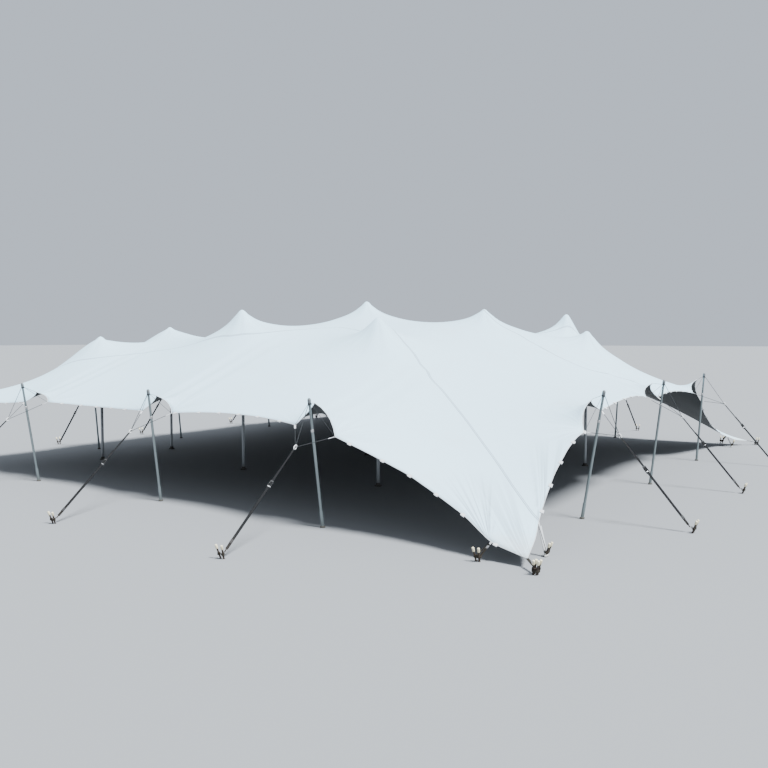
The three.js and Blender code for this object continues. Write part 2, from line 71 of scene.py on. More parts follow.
# Webbing tabs along the hem.
TAB_STEP = 0.66
END_TAB_SHIFT = 0.2
TAB_CLEAR = 0.06

# Places along the hem of the pegs beside a grounded corner.
PEG_X = 9.18
PEG_Y = 9.0
PEG_BACK = 0.19

# Outer poles, the flat straps of their guys, and stakes.
SIDE_CAP = 0.05
COLLAR_DOWN = 0.075
RAISED_ANGLE = 0.75 * math.pi
CORNER_LEAN = 0.43
STRAP_TWIST = 0.7
STAKE_LEAN = 0.09
STAKE_HEIGHT = 0.27
STAKE_SPREAD = 0.042
HOOK_Z = 0.095

Array = np.ndarray
Pair = tuple[float, float]
Triple = tuple[float, float, float]
Colour = Triple
Profile = Sequence[Pair]
Leg = tuple[Triple, ...]
Seam = tuple[Pair, ...]


@dataclass(frozen=True)
class Notch:
    """Where a side pole lifts the hem into a pointed notch.

    Attributes:
        place: Place of the pole along the hem.
        inward: How far inside the square plan the hem lies there.
        before: Height of the hem at the notch's start.
        after: Height of the hem at the notch's end.
        top: Height of the notch's point.
        lean: How far outward its pole's top is from the foot.
    """

    place: float
    inward: float
    before: float
    after: float
    top: float
    lean: float


@dataclass(frozen=True)
class PoleRow:
    """How the side poles of a side stand and are held.

    Attributes:
        line: Distance of their feet from the tent's middle.
        top: Height of a pole.
        ring_out: Distance from the pole line out to the guy's ring.
        ring_z: Height of that ring.
        stake_out: Distance from the pole line out to the guy's stakes.
    """

    line: float
    top: float
    ring_out: float
    ring_z: float
    stake_out: float


@dataclass(frozen=True)
class HemSide:
    """One hem of the canopy, from its low end to its high end along X or Y.

    Attributes:
        notches: Its three notches.
        bays: Inward offset and height at the middle of each bay between them.
        low_leg: Rows of (part of the way from corner tip to the first notch,
            inward offset, height) at the low end.
        high_leg: The same at the high end.
        poles: The poles that stand along it.
    """

    notches: tuple[Notch, Notch, Notch]
    bays: tuple[Pair, Pair]
    low_leg: Leg
    high_leg: Leg
    poles: PoleRow


LONG_LEG: Leg = (
    (0.0, 0.0, TIP_HEIGHT), (0.166, 0.05, 0.333), (0.235, 0.12, 0.515), (0.304, 0.18, 0.715),
    (0.464, 0.30, 1.03), (0.614, 0.35, 1.335), (0.819, 0.33, 1.665),
)
END_LEG: Leg = (
    (0.0, 0.0, TIP_HEIGHT), (0.154, 0.10, 0.40), (0.254, 0.20, 0.655), (0.396, 0.30, 0.96),
    (0.55, 0.36, 1.35), (0.757, 0.40, 1.74), (0.9, 0.41, 1.93),
)
FAR_LEG: Leg = (
    (0.0, 0.0, TIP_HEIGHT), (0.1, 0.3, 0.22), (0.263, 0.66, 0.484), (0.582, 0.7, 0.94),
    (0.875, 0.66, 1.49),
)
RAISED_LEG: Leg = ((0.0, 0.0, 2.32), (0.25, 0.24, 2.19), (0.5, 0.42, 2.11), (0.75, 0.48, 2.11))
LONG_ROW = PoleRow(9.48, 2.77, 0.88, 1.805, 2.94)
END_ROW = PoleRow(9.29, 2.87, 0.81, 1.90, 2.36)
CORNER_ROW = PoleRow(13.74, 2.62, 0.86, 1.70, 2.56)
FRONT_HEM = HemSide(
    notches=(
        Notch(-5.05, 0.40, 2.20, 2.24, 2.50, 0.43),
        Notch(0.0, 0.33, 2.20, 2.20, 2.60, 0.34),
        Notch(5.05, 0.17, 2.17, 1.99, 2.66, 0.43),
    ),
    bays=((0.57, 2.19), (0.44, 2.275)),
    low_leg=RAISED_LEG,
    high_leg=LONG_LEG,
    poles=LONG_ROW,
)
BACK_HEM = HemSide(
    notches=(
        Notch(-5.05, 0.28, 1.99, 2.20, 2.62, 0.43),
        Notch(0.0, 0.30, 2.20, 2.20, 2.62, 0.34),
        Notch(5.05, 0.28, 2.20, 1.99, 2.62, 0.43),
    ),
    bays=((0.50, 2.26), (0.50, 2.26)),
    low_leg=LONG_LEG,
    high_leg=LONG_LEG,
    poles=LONG_ROW,
)
RIGHT_HEM = HemSide(
    notches=(
        Notch(-5.6, 0.40, 1.995, 2.38, 2.68, 0.45),
        Notch(-0.42, 0.60, 2.41, 2.36, 2.77, 0.32),
        Notch(4.8, 0.64, 2.24, 1.92, 2.655, 0.18),
    ),
    bays=((0.42, 2.55), (0.71, 2.41)),
    low_leg=END_LEG,
    high_leg=FAR_LEG,
    poles=END_ROW,
)
LEFT_HEM = HemSide(
    notches=(
        Notch(-4.3, 0.45, 2.30, 2.36, 2.68, 0.32),
        Notch(-0.42, 0.50, 2.37, 2.37, 2.75, 0.32),
        Notch(4.8, 0.50, 2.28, 1.99, 2.66, 0.32),
    ),
    bays=((0.55, 2.45), (0.65, 2.42)),
    low_leg=RAISED_LEG,
    high_leg=END_LEG,
    poles=END_ROW,
)


@dataclass(frozen=True)
class KingPlace:
    """Where an inner pole stands and how it holds the fabric.

    Attributes:
        x: Foot, across the tent.
        y: Foot, along the tent.
        top: Height of the canopy over it.
        reach: Distance within which the stretched fabric round it is tighter.
    """

    x: float
    y: float
    top: float
    reach: float = 0.3


KING_POLES: dict[str, KingPlace] = {
    "king_pole_1": KingPlace(3.27, -4.81, 4.56),
    "king_pole_2": KingPlace(-1.70, -4.80, 4.85),
    "king_pole_3": KingPlace(-7.02, -5.86, 4.05, 0.8),
    "king_pole_4": KingPlace(3.90, 0.15, 4.90),
    "king_pole_5": KingPlace(-0.44, -0.07, 5.24),
    "king_pole_6": KingPlace(-7.11, -2.84, 4.39, 0.8),
    "king_pole_7": KingPlace(4.44, 5.63, 4.86),
    "king_pole_8": KingPlace(-1.40, 5.50, 4.45),
    "king_pole_9": KingPlace(-6.70, 4.70, 4.25),
    "king_pole_10": KingPlace(6.66, 1.70, 4.215),
}


class Side(Enum):
    """The four sides of the tent: its hem, the turn of its own frame, and the
    sign that takes a place along its own frame to one along X or Y."""

    FRONT = (FRONT_HEM, math.pi, -1.0)
    RIGHT = (RIGHT_HEM, -math.pi / 2, -1.0)
    BACK = (BACK_HEM, 0.0, 1.0)
    LEFT = (LEFT_HEM, math.pi / 2, 1.0)

    @property
    def hem(self) -> HemSide:
        """The hem that this side has."""
        return self.value[0]

    @property
    def angle(self) -> float:
        """The turn of this side's own frame about the vertical."""
        return self.value[1]

    @property
    def turn(self) -> float:
        """Sign from a place along the side's own frame to one along X or Y."""
        return self.value[2]

    @property
    def is_end(self) -> bool:
        """Whether it is one of the tent's two ends, which face along X."""
        return self in (Side.RIGHT, Side.LEFT)

    @property
    def strap_twist(self) -> float:
        """Which way the guys' flat straps are turned about their length."""
        return -STRAP_TWIST if self.is_end else STRAP_TWIST

    def tab_places(self) -> list[float]:
        """Where the tabs on this hem are.

        Returns:
            Their places along X or Y, none inside a notch.
        """
        first, shift = (-13, END_TAB_SHIFT) if self.is_end else (-14, 0.0)
        places = [TAB_STEP * k - shift for k in range(first, 15)]
        least = NOTCH_HALF - TAB_CLEAR
        notches = self.hem.notches
        return [p for p in places if all(abs(p - notch.place) > least for notch in notches)]

    def rim(self, place: float, beyond: float = 0.0) -> Array:
        """The hem's point at a place along X or Y, moved outward a little."""
        inward, z = hem(self.hem, np.array([place]))
        return on_side(self.angle, self.turn * place, CORNER - inward[0] + beyond, z[0])


PEGS = (
    (Side.FRONT, PEG_X, PEG_BACK),
    (Side.RIGHT, -PEG_Y, 0.0),
    (Side.RIGHT, PEG_Y, 0.0),
    (Side.BACK, PEG_X, PEG_BACK),
    (Side.BACK, -PEG_X, PEG_BACK),
    (Side.LEFT, PEG_Y, 0.0),
)


def on_side(angle: float, along: float, out: float, z: float) -> Array:
    """Turns a side's own (along, outward, up) about the vertical by angle.

    Args:
        angle: Turn of the side's frame.
        along: Distance along the side.
        out: Distance out from the tent's middle.
        z: Height.

    Returns:
        The point in the tent's frame.
    """
    cos, sin = math.cos(angle), math.sin(angle)
    return np.array([along * cos - out * sin, along * sin + out * cos, z])


def straight(a: Array, b: Array, count: int = 2) -> Array:
    """Points from a to b at even steps."""
    t = np.linspace(0, 1, count)[:, None]
    return (1 - t) * np.asarray(a, float) + t * np.asarray(b, float)


def unit(v: Array) -> Array:
    """Each row, or the one vector, at length one."""
    v = np.asarray(v, float)
    return v / (np.linalg.norm(v, axis=-1, keepdims=True) + TINY)


def grid_quads(index: Array) -> Array:
    """The four corners of each cell of a grid of vertex numbers, as rows."""
    corners = (index[:-1, :-1], index[1:, :-1], index[1:, 1:], index[:-1, 1:])
    return np.stack(corners, axis=-1).reshape(-1, 4)


def soft_section(wide: float, high: float, in_wide: float, in_high: float) -> Array:
    """Eight points round a rectangle whose corners are cut off.

    Args:
        wide: Half its width.
        high: Half its height.
        in_wide: How much of the width each cut takes.
        in_high: How much of the height each cut takes.

    Returns:
        Array (8, 2).
    """
    x, y = wide - in_wide, high - in_high
    half = np.array([(wide, -y), (wide, y), (x, high), (-x, high)])
    return np.vstack([half, -half])


def rings(
    middles: Array, first: Array, second: Array, radius: Array | float, sides: int
) -> Array:
    """Circles of middle + radius * (cos v * first + sin v * second).

    Args:
        middles: Array (n, 3) of their middles.
        first: Unit direction at v = 0, one for all or one for each circle.
        second: Unit direction a quarter turn on, likewise.
        radius: One radius, or an array that spreads over (n, sides).
        sides: Points round each circle.

    Returns:
        Array (n, sides, 3).
    """
    v = np.linspace(0, 2 * math.pi, sides, endpoint=False)
    first = np.broadcast_to(first, middles.shape)[:, None]
    second = np.broadcast_to(second, middles.shape)[:, None]
    wheel = np.cos(v)[None, :, None] * first + np.sin(v)[None, :, None] * second
    reach = np.broadcast_to(radius, (len(middles), sides))
    return middles[:, None] + reach[..., None] * wheel


class Shape:
    """Vertices, faces and finishes, gathered into one mesh object."""

    BAND_SOFT = 0.25
    BOX_SOFT = 0.12
    RING_SIDES = 12
    RING_TURNS = 36
    SHARP = math.radians(38)

    def __init__(self, *finishes: Surface) -> None:
        """Starts empty.

        Args:
            finishes: The finishes of its material slots, in order.
        """
        self.finishes = finishes
        self.points: list[Array] = []
        self.faces: list[Array] = []
        self.slots: list[Array] = []
        self.count = 0

    def add_grid(self, grid: Array, finish: Surface, close: bool = False) -> None:
        """Adds a grid of points as quads, its last column joined to its first.

        Args:
            grid: Array (nu, nv, 3); u runs along, v round, outward by the
                right-hand rule of u then v.
            finish: Finish of its faces.
            close: Whether the last row joins the first too.
        """
        nu, nv = grid.shape[:2]
        index = np.arange(nu * nv).reshape(nu, nv) + self.count
        if close:
            index = np.vstack([index, index[:1]])
        index = np.hstack([index, index[:, :1]])
        self._store(grid.reshape(-1, 3), grid_quads(index), finish)

    def add_cap(self, ring: Array, outward: Array, finish: Surface) -> None:
        """Closes a ring of points with a fan about its middle.

        Args:
            ring: Array (n, 3) of points round the opening.
            outward: Direction the cap faces.
            finish: Finish of its faces.
        """
        middle = ring.mean(axis=0)
        n = len(ring)
        first = np.arange(n)
        after = (first + 1) % n
        if np.cross(ring[0] - middle, ring[1] - middle) @ outward < 0:
            first, after = after, first
        faces = np.stack([first, after, np.full(n, n)], axis=-1) + self.count
        faces = np.hstack([faces, np.full((n, 1), -1)])
        self._store(np.vstack([ring, middle]), faces, finish)

    def add_closed(self, grid: Array, first: Array, last: Array, finish: Surface) -> None:
        """Adds a grid and caps both its ends.

        Args:
            grid: Array (nu, nv, 3).
            first: Direction of u at its start.
            last: Direction of u at its end.
            finish: Finish of its faces.
        """
        self.add_grid(grid, finish)
        self.add_cap(grid[0], -first, finish)
        self.add_cap(grid[-1], last, finish)

    def _store(self, points: Array, faces: Array, finish: Surface) -> None:
        """Keeps points and faces.

        Args:
            points: Array (n, 3).
            faces: Rows of four vertex numbers, the last one -1 in a triangle.
            finish: Finish of the faces.
        """
        self.points.append(points)
        self.faces.append(faces)
        self.slots.append(np.full(len(faces), self.finishes.index(finish)))
        self.count += len(points)

    def add_tube(
        self, path: Array, radius: Sequence[float] | float, finish: Surface, sides: int = 16
    ) -> None:
        """A round tube along a path, closed at both ends.

        Each ring is path(u) + radius(u) * (cos v * across + sin v * up), with
        across and up square to the run.

        Args:
            path: Array (n, 3).
            radius: One radius, or one for each point of the path.
            finish: Finish of its faces.
            sides: Faces round it.
        """
        run = unit(np.gradient(path, axis=0))
        steep = abs(run[:, 2]).mean() > 0.9
        across = unit(np.cross([1.0, 0.0, 0.0] if steep else UP, run))
        reach = np.broadcast_to(np.asarray(radius, float), len(path))[:, None]
        grid = rings(path, across, np.cross(run, across), reach, sides)
        self.add_closed(grid, run[0], run[-1], finish)

    def add_band(
        self, path: Array, across: Array, width: float, thick: float, finish: Surface
    ) -> None:
        """A flat strap with softened edges along a path, closed at both ends.

        Each ring is path(u) + x * wide + y * face for the points (x, y) of a
        rectangle with cut corners, wide being across made square to the run.

        Args:
            path: Array (n, 3) of its middle line.
            across: Direction of its width.
            width: Its width.
            thick: Its thickness.
            finish: Finish of its faces.
        """
        run = unit(np.gradient(path, axis=0))
        wide = np.broadcast_to(across, path.shape)
        wide = unit(wide - (wide * run).sum(axis=1, keepdims=True) * run)
        face = np.cross(run, wide)
        inset = thick * self.BAND_SOFT
        section = soft_section(width / 2, thick / 2, inset * 2, inset)
        grid = path[:, None] + section @ np.stack([wide, face], axis=1)
        self.add_closed(grid, run[0], run[-1], finish)

    def add_lathe(
        self, profile: Profile, base: Array, axis: Array, sides: int, finish: Surface
    ) -> None:
        """A turned shape: base + height * axis + radius * (a circle round it).

        Args:
            profile: Rows of (radius, height), from the axis and back to it.
            base: Point the heights are measured from.
            axis: Direction of the axis.
            sides: Faces round it.
            finish: Finish of its faces.
        """
        axis = unit(axis)
        across = unit(np.cross([1.0, 0, 0] if abs(axis[0]) < 0.7 else [0, 1.0, 0], axis))
        table = np.array(profile[1:-1], float)
        middles = base + table[:, 1:] * axis
        grid = rings(middles, across, np.cross(axis, across), table[:, :1], sides)
        self.add_closed(grid, axis, axis, finish)

    def add_ring(
        self,
        centre: Array,
        normal: Array,
        radius: float,
        wire: float,
        finish: Surface,
        stretch: Pair = (1.0, 1.0),
        up: Array = UP,
    ) -> None:
        """A closed ring or link of round wire.

        Its middle line is centre + radius * (a cos u * first + b sin u * second),
        and the wire is a circle round that line, outward and along the normal.

        Args:
            centre: Its middle.
            normal: Direction square to the ring's plane.
            radius: Radius of the wire's middle line.
            wire: Radius of the wire.
            finish: Finish of its faces.
            stretch: The factors a and b.
            up: Direction of its first axis.
        """
        normal = unit(normal)
        first = unit(up)
        if abs(first @ normal) > 0.95:
            first = np.array([1.0, 0, 0])
        first = unit(first - (first @ normal) * normal)
        second = np.cross(normal, first)
        u = np.linspace(0, 2 * math.pi, self.RING_TURNS, endpoint=False)[:, None]
        spoke = radius * (stretch[0] * np.cos(u) * first + stretch[1] * np.sin(u) * second)
        grid = rings(centre + spoke, unit(spoke), normal, wire, self.RING_SIDES)
        self.add_grid(grid[:, ::-1], finish, True)

    def add_box(self, centre: Array, axes: Array, size: Triple, finish: Surface) -> None:
        """A block with softened edges, along its first axis.

        Its four rings are centre + s * axis + a rectangle with cut corners, the
        first and last drawn in.

        Args:
            centre: Its middle.
            axes: Array (3, 3), rows are its own directions.
            size: Full size along each.
            finish: Finish of its faces.
        """
        length, wide, high = (part / 2 for part in size)
        cut = 2 * self.BOX_SOFT * min(wide, high)
        section = soft_section(wide, high, cut, cut)
        steps = np.array([-length, -length + cut, length - cut, length])
        shrink = np.array([1 - cut / wide, 1, 1, 1 - cut / wide])
        drawn = section * shrink[:, None, None]
        grid = centre + steps[:, None, None] * axes[0] + drawn @ axes[1:]
        self.add_closed(grid, axes[0], axes[0], finish)

    def build(self, name: str) -> bpy.types.Object:
        """Puts everything into one object at the origin, faces outward.

        Args:
            name: The object's name.

        Returns:
            The new object.
        """
        faces = [tuple(int(k) for k in row if k >= 0) for row in np.vstack(self.faces)]
        mesh = bpy.data.meshes.new(name)
        mesh.from_pydata(np.vstack(self.points).tolist(), [], faces)
        slots = np.concatenate(self.slots).astype(np.int32)
        mesh.polygons.foreach_set("material_index", slots)
        mesh.update()
        for finish in self.finishes:
            mesh.materials.append(finish.material())
        obj = bpy.data.objects.new(name, mesh)
        bpy.context.scene.collection.objects.link(obj)
        turn_outward(mesh)
        mesh.shade_smooth()
        mesh.set_sharp_from_angle(angle=self.SHARP)
        return obj

    def stand_for(self, node: str) -> bpy.types.Object:
        """Builds the dressed piece of a node.

        Args:
            node: The CAD node that it replaces.

        Returns:
            The new object.
        """
        obj = self.build(f"{node}_dressed")
        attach(obj, ROOT)
        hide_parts(node)
        return obj


def turn_outward(mesh: bpy.types.Mesh) -> None:
    """Turns every closed shell of a mesh so that its faces point outward.

    Args:
        mesh: The mesh, changed in place.
    """
    work = bmesh.new()
    work.from_mesh(mesh)
    bmesh.ops.recalc_face_normals(work, faces=work.faces)
    work.to_mesh(mesh)
    work.free()


Socket = bpy.types.NodeSocket
Sockets = Mapping[str, Socket]


class NodeKit:
    """Short calls for building a node tree."""

    def __init__(self, tree: bpy.types.NodeTree) -> None:
        """Keeps the tree that nodes go into."""
        self.tree = tree

    def node(
        self,
        kind: str,
        feeds: Mapping[int | str, Socket | Colour | float] | None = None,
        **settings: object,
    ) -> bpy.types.Node:
        """Adds a node to the tree.

        Args:
            kind: Its type.
            feeds: What its inputs get, by number or name.
            settings: Values of its properties, by name.

        Returns:
            The node.
        """
        made = self.tree.nodes.new(kind)
        for key, value in settings.items():
            setattr(made, key, value)
        for key, value in (feeds or {}).items():
            self.feed(made.inputs[key], value)
        return made

    def link(self, source: Socket, target: Socket) -> None:
        """Joins two sockets."""
        self.tree.links.new(source, target)

    def feed(self, target: Socket, value: Socket | Colour | float) -> None:
        """Joins a socket to an input, or sets the input.

        Args:
            target: The input.
            value: A socket, colour or number.
        """
        if isinstance(value, Socket):
            self.link(value, target)
        else:
            target.default_value = (*value, 1.0) if isinstance(value, tuple) else value

    def place(self) -> Socket:
        """Object coordinates."""
        return self.node("ShaderNodeTexCoord").outputs["Object"]

    def attribute(self, name: str, output: str = "Fac") -> Socket:
        """The mesh's own value of that name at each point."""
        return self.node("ShaderNodeAttribute", attribute_name=name).outputs[output]

    def split(self, vector: Socket) -> Sequence[Socket]:
        """The X, Y and Z of a vector."""
        return self.node("ShaderNodeSeparateXYZ", {0: vector}).outputs

    def math(
        self, operation: str, a: Socket | float, b: Socket | float = 0.0, clamp: bool = False
    ) -> Socket:
        """A math node's result, its inputs sockets or numbers."""
        feeds = {0: a, 1: b}
        return self.node("ShaderNodeMath", feeds, operation=operation, use_clamp=clamp).outputs[0]

    def plus(self, a: Socket | float, b: Socket | float, clamp: bool = False) -> Socket:
        """a + b."""
        return self.math("ADD", a, b, clamp)

    def minus(self, a: Socket | float, b: Socket | float, clamp: bool = False) -> Socket:
        """a - b."""
        return self.math("SUBTRACT", a, b, clamp)

    def times(self, a: Socket | float, b: Socket | float, clamp: bool = False) -> Socket:
        """a * b."""
        return self.math("MULTIPLY", a, b, clamp)

    def size(self, value: Socket) -> Socket:
        """The value without its sign."""
        return self.math("ABSOLUTE", value)

    def total(self, *parts: tuple[Socket, Socket | float], clamp: bool = False) -> Socket:
        """Adds up value * factor.

        Args:
            parts: Pairs of value and factor.
            clamp: Whether the sum is kept between 0 and 1.

        Returns:
            The sum.
        """
        made = self.times(*parts[0])
        for part in parts[1:]:
            made = self.plus(made, self.times(*part), clamp and part is parts[-1])
        return made

    def mix(self, part: Socket | float, a: Socket | Colour, b: Socket | Colour) -> Socket:
        """A colour part of the way from a to b."""
        return self.node("ShaderNodeMix", {0: part, 6: a, 7: b}, data_type="RGBA").outputs[2]

    def noise(self, vector: Socket, scale: float, detail: float = 3.0) -> Socket:
        """Cloudy noise from 0 to 1 at a scale."""
        feeds = {"Scale": scale, "Detail": detail, "Vector": vector}
        return self.node("ShaderNodeTexNoise", feeds).outputs["Fac"]

    def ramp(self, value: Socket, low: float, high: float) -> Socket:
        """0 below low, 1 above high, smooth between."""
        feeds = {"From Min": low, "From Max": high, "Value": value}
        return self.node("ShaderNodeMapRange", feeds, interpolation_type="SMOOTHSTEP").outputs[0]

    def band(self, value: Socket, low: float, high: float) -> Socket:
        """1 below low, 0 above high, smooth between."""
        return self.minus(1.0, self.ramp(value, low, high))

    def bump(self, height: Socket, strength: float, distance: float, **over: Socket) -> Socket:
        """A normal raised by a height, over another Normal where one is given."""
        feeds = {"Height": height, "Strength": strength, "Distance": distance, **over}
        return self.node("ShaderNodeBump", feeds).outputs[0]

    def effect(
        self, effect: Effect, vector: Socket, values: Mapping[str, float]
    ) -> bpy.types.NodeOutputs:
        """Outputs of a shared effect, fed a vector and its other inputs by name."""
        feeds = {0: vector, **values}
        return self.node("ShaderNodeGroup", feeds, node_tree=effect.tree()).outputs


@dataclass(frozen=True)
class Effect:
    """A node group with named sockets, built once for every material.

    Attributes:
        name: The group's name.
        inputs: Names of its inputs, the first a vector and the rest numbers.
        outputs: Names of its outputs, all numbers.
        wire: Fills the group, given its kit, its inputs and its outputs.
    """

    name: str
    inputs: tuple[str, ...]
    outputs: tuple[str, ...]
    wire: Callable[[NodeKit, Sockets, Sockets], None]

    def tree(self) -> bpy.types.NodeTree:
        """Makes the group the first time that it is asked for.

        Returns:
            The group.
        """
        if self.name not in bpy.data.node_groups:
            tree = bpy.data.node_groups.new(self.name, "ShaderNodeTree")
            for k, label in enumerate(self.inputs):
                kind = "NodeSocketFloat" if k else "NodeSocketVector"
                tree.interface.new_socket(label, in_out="INPUT", socket_type=kind)
            for label in self.outputs:
                tree.interface.new_socket(label, in_out="OUTPUT", socket_type="NodeSocketFloat")
            kit = NodeKit(tree)
            start = kit.node("NodeGroupInput").outputs
            self.wire(kit, start, kit.node("NodeGroupOutput").inputs)
        return bpy.data.node_groups[self.name]


def wire_weave(kit: NodeKit, start: Sockets, end: Sockets) -> None:
    """Turns a flat position into a plain weave of over-and-under threads.

    Height is the higher of |sin x| and |sin y| of the scaled position, and tone
    is their product.

    Args:
        kit: The group's kit.
        start: Vector and Scale.
        end: Height and Tone, both from 0 to 1.
    """
    feeds = {0: start["Vector"], "Scale": start["Scale"]}
    scaled = kit.node("ShaderNodeVectorMath", feeds, operation="SCALE").outputs[0]
    along, across = (kit.size(kit.math("SINE", part)) for part in kit.split(scaled)[:2])
    kit.link(kit.math("MAXIMUM", along, across), end["Height"])
    kit.link(kit.times(along, across), end["Tone"])


def wire_folds(kit: NodeKit, start: Sockets, end: Sockets) -> None:
    """Turns an offset from an anchor into the height of its folds.

    Noise is read on a circle, at the offset's direction times the density, and
    slowly along the distance, so it gives uneven streaks that fan outward. A
    narrow crease runs wherever the noise passes its middle value; it dips the
    height, and its strength also goes out as painted shade for the colour.

    Args:
        kit: The group's kit.
        start: Offset (x, y, depth) and Density.
        end: Height, in metres, and the crease output, painted shade for the colour:
        1 in a crease and 0 away from it.
    """
    x, y, depth = kit.split(start["Offset"])
    squares = kit.plus(kit.times(x, x), kit.times(y, y))
    away = kit.math("MAXIMUM", kit.math("SQRT", squares), 0.001)
    ways = [kit.times(kit.math("DIVIDE", part, away), start["Density"]) for part in (x, y)]
    join = kit.node("ShaderNodeCombineXYZ", {0: ways[0], 1: ways[1], 2: kit.times(away, 0.22)})
    swing = kit.minus(kit.noise(join.outputs[0], 1.0, 1.0), 0.5)
    crease = kit.minus(1.0, kit.times(kit.size(swing), 9.0), True)
    shape = kit.minus(kit.times(swing, 1.2), kit.times(crease, 0.35))
    kit.link(kit.times(shape, depth), end["Height"])
    # Painted shade: the crease line, faded with the fold depth, darkens the fabric's colour.
    kit.link(kit.times(crease, kit.times(depth, 90.0, True)), end["Crease Shade"])


def wire_wear(kit: NodeKit, start: Sockets, end: Sockets) -> None:
    """Uneven soiling: broad clouds, small specks and a dirty foot.

    Args:
        kit: The group's kit.
        start: Vector, Clouds, Specks and Foot Height.
        end: Soil, from 0 clean to 1 dirty.
    """
    place = start["Vector"]
    clouds = kit.ramp(kit.noise(place, 0.9, 5.0), 0.5, 0.78)
    specks = kit.ramp(kit.noise(place, 31.0, 4.0), 0.6, 0.78)
    rough_z = kit.plus(kit.split(place)[2], kit.times(kit.noise(place, 6.0), -0.25))
    foot = kit.minus(1.0, kit.math("DIVIDE", rough_z, start["Foot Height"]), True)
    soil = kit.total(
        (clouds, start["Clouds"]), (specks, start["Specks"]), (foot, 0.6), clamp=True
    )
    kit.link(soil, end["Soil"])


PLAIN_WEAVE = Effect("plain_weave", ("Vector", "Scale"), ("Height", "Tone"), wire_weave)
# The fold fan's second output is painted shade along its creases.
FOLD_FAN = Effect("fold_fan", ("Offset", "Density"), ("Height", "Crease Shade"), wire_folds)
OUTDOOR_WEAR = Effect(
    "outdoor_wear", ("Vector", "Clouds", "Specks", "Foot Height"), ("Soil",), wire_wear
)


@dataclass(frozen=True)
class Surface:
    """A named material, made the first time that a piece asks for it.

    Attributes:
        name: Material name.
    """

    name: str

    def material(self) -> bpy.types.Material:
        """Makes the material the first time that it is asked for.

        Returns:
            The material.
        """
        if self.name not in bpy.data.materials:
            made = bpy.data.materials.new(self.name)
            made.use_nodes = True
            tree = made.node_tree
            self.wire(NodeKit(tree), tree.nodes["Principled BSDF"].inputs)
        return bpy.data.materials[self.name]

    def wire(self, kit: NodeKit, shader: Sockets) -> None:
        """Feeds the shader's inputs."""
        raise NotImplementedError


@dataclass(frozen=True)
class Finish(Surface):
    """A painted, plastic or metal finish with outdoor wear.

    Attributes:
        colour: Clean colour.
        soiled: Colour where it is worn or dirty.
        roughness: Roughness when clean.
        metallic: 1 for bare metal.
        grain: Scale of the fine surface grain.
        grain_height: Height of the grain in metres.
        grain_rough: How much the grain swings the roughness.
        soil_rough: How much dirt adds to the roughness.
        clouds: Amount of broad soiling.
        specks: Amount of small specks.
        foot: Height over which ground dirt fades.
    """

    colour: Colour
    soiled: Colour
    roughness: float
    metallic: float = 0.0
    grain: float = 220.0
    grain_height: float = 0.0004
    grain_rough: float = 0.16
    soil_rough: float = 0.25
    clouds: float = 0.25
    specks: float = 0.2
    foot: float = 0.12

    def wire(self, kit: NodeKit, shader: Sockets) -> None:
        """Feeds colour, roughness, metal and bump.

        Args:
            kit: The material's kit.
            shader: The shader's inputs.
        """
        place = kit.place()
        wear = {"Clouds": self.clouds, "Specks": self.specks, "Foot Height": self.foot}
        soil = kit.effect(OUTDOOR_WEAR, place, wear)["Soil"]
        kit.link(kit.mix(soil, self.colour, self.soiled), shader["Base Color"])
        fine = kit.noise(place, self.grain, 2.0)
        rough = kit.total((fine, self.grain_rough), (soil, self.soil_rough))
        least = self.roughness - self.grain_rough / 2
        kit.link(kit.plus(rough, least, True), shader["Roughness"])
        shader["Metallic"].default_value = self.metallic
        kit.link(kit.bump(fine, 0.5, self.grain_height), shader["Normal"])


@dataclass(frozen=True)
class TubeMetal(Finish):
    """Drawn metal tube, with fine lines that run up the pole.

    Attributes:
        streak_scale: Scale of the lines along X, Y and Z.
        streak_part: How much of the line colour shows at most.
        streak_colour: Factors that take the clean colour to the line colour.
    """

    streak_scale: Colour = (160.0, 160.0, 2.2)
    streak_part: float = 0.55
    streak_colour: Colour = (0.55, 0.55, 0.56)

    def wire(self, kit: NodeKit, shader: Sockets) -> None:
        """Adds streaks stretched along the height to the plain finish.

        Args:
            kit: The material's kit.
            shader: The shader's inputs.
        """
        super().wire(kit, shader)
        squeeze = kit.node("ShaderNodeMapping", {"Vector": kit.place()})
        squeeze.inputs["Scale"].default_value = self.streak_scale
        streaks = kit.noise(squeeze.outputs[0], 1.0, 4.0)
        plain = shader["Base Color"].links[0].from_socket
        line = tuple(a * b for a, b in zip(self.colour, self.streak_colour))
        tint = kit.mix(kit.times(streaks, self.streak_part), plain, line)
        kit.link(tint, shader["Base Color"])


@dataclass(frozen=True)
class Webbing(Surface):
    """Woven strap or rope, its threads read from Object coordinates.

    Attributes:
        colour: Thread colour.
        gap: Colour between the threads.
        soiled: Colour of the dirt on it.
        soil: How much of that colour shows at most.
    """

    colour: Colour
    gap: Colour
    soiled: Colour = (0.19, 0.15, 0.1)
    soil: float = 0.22

    def wire(self, kit: NodeKit, shader: Sockets) -> None:
        """Feeds colour, roughness and bump from the weave.

        Args:
            kit: The material's kit.
            shader: The shader's inputs.
        """
        place = kit.place()
        weave = kit.effect(PLAIN_WEAVE, place, {"Scale": 900.0})["Height"]
        wear = {"Clouds": 0.25, "Specks": 0.25, "Foot Height": 0.2}
        soil = kit.times(kit.effect(OUTDOOR_WEAR, place, wear)["Soil"], self.soil)
        base = kit.mix(weave, self.gap, self.colour)
        kit.link(kit.mix(soil, base, self.soiled), shader["Base Color"])
        shader["Specular IOR Level"].default_value = 0.12
        kit.link(kit.minus(0.92, kit.times(weave, 0.25)), shader["Roughness"])
        kit.link(kit.bump(weave, 0.6, 0.0008), shader["Normal"])


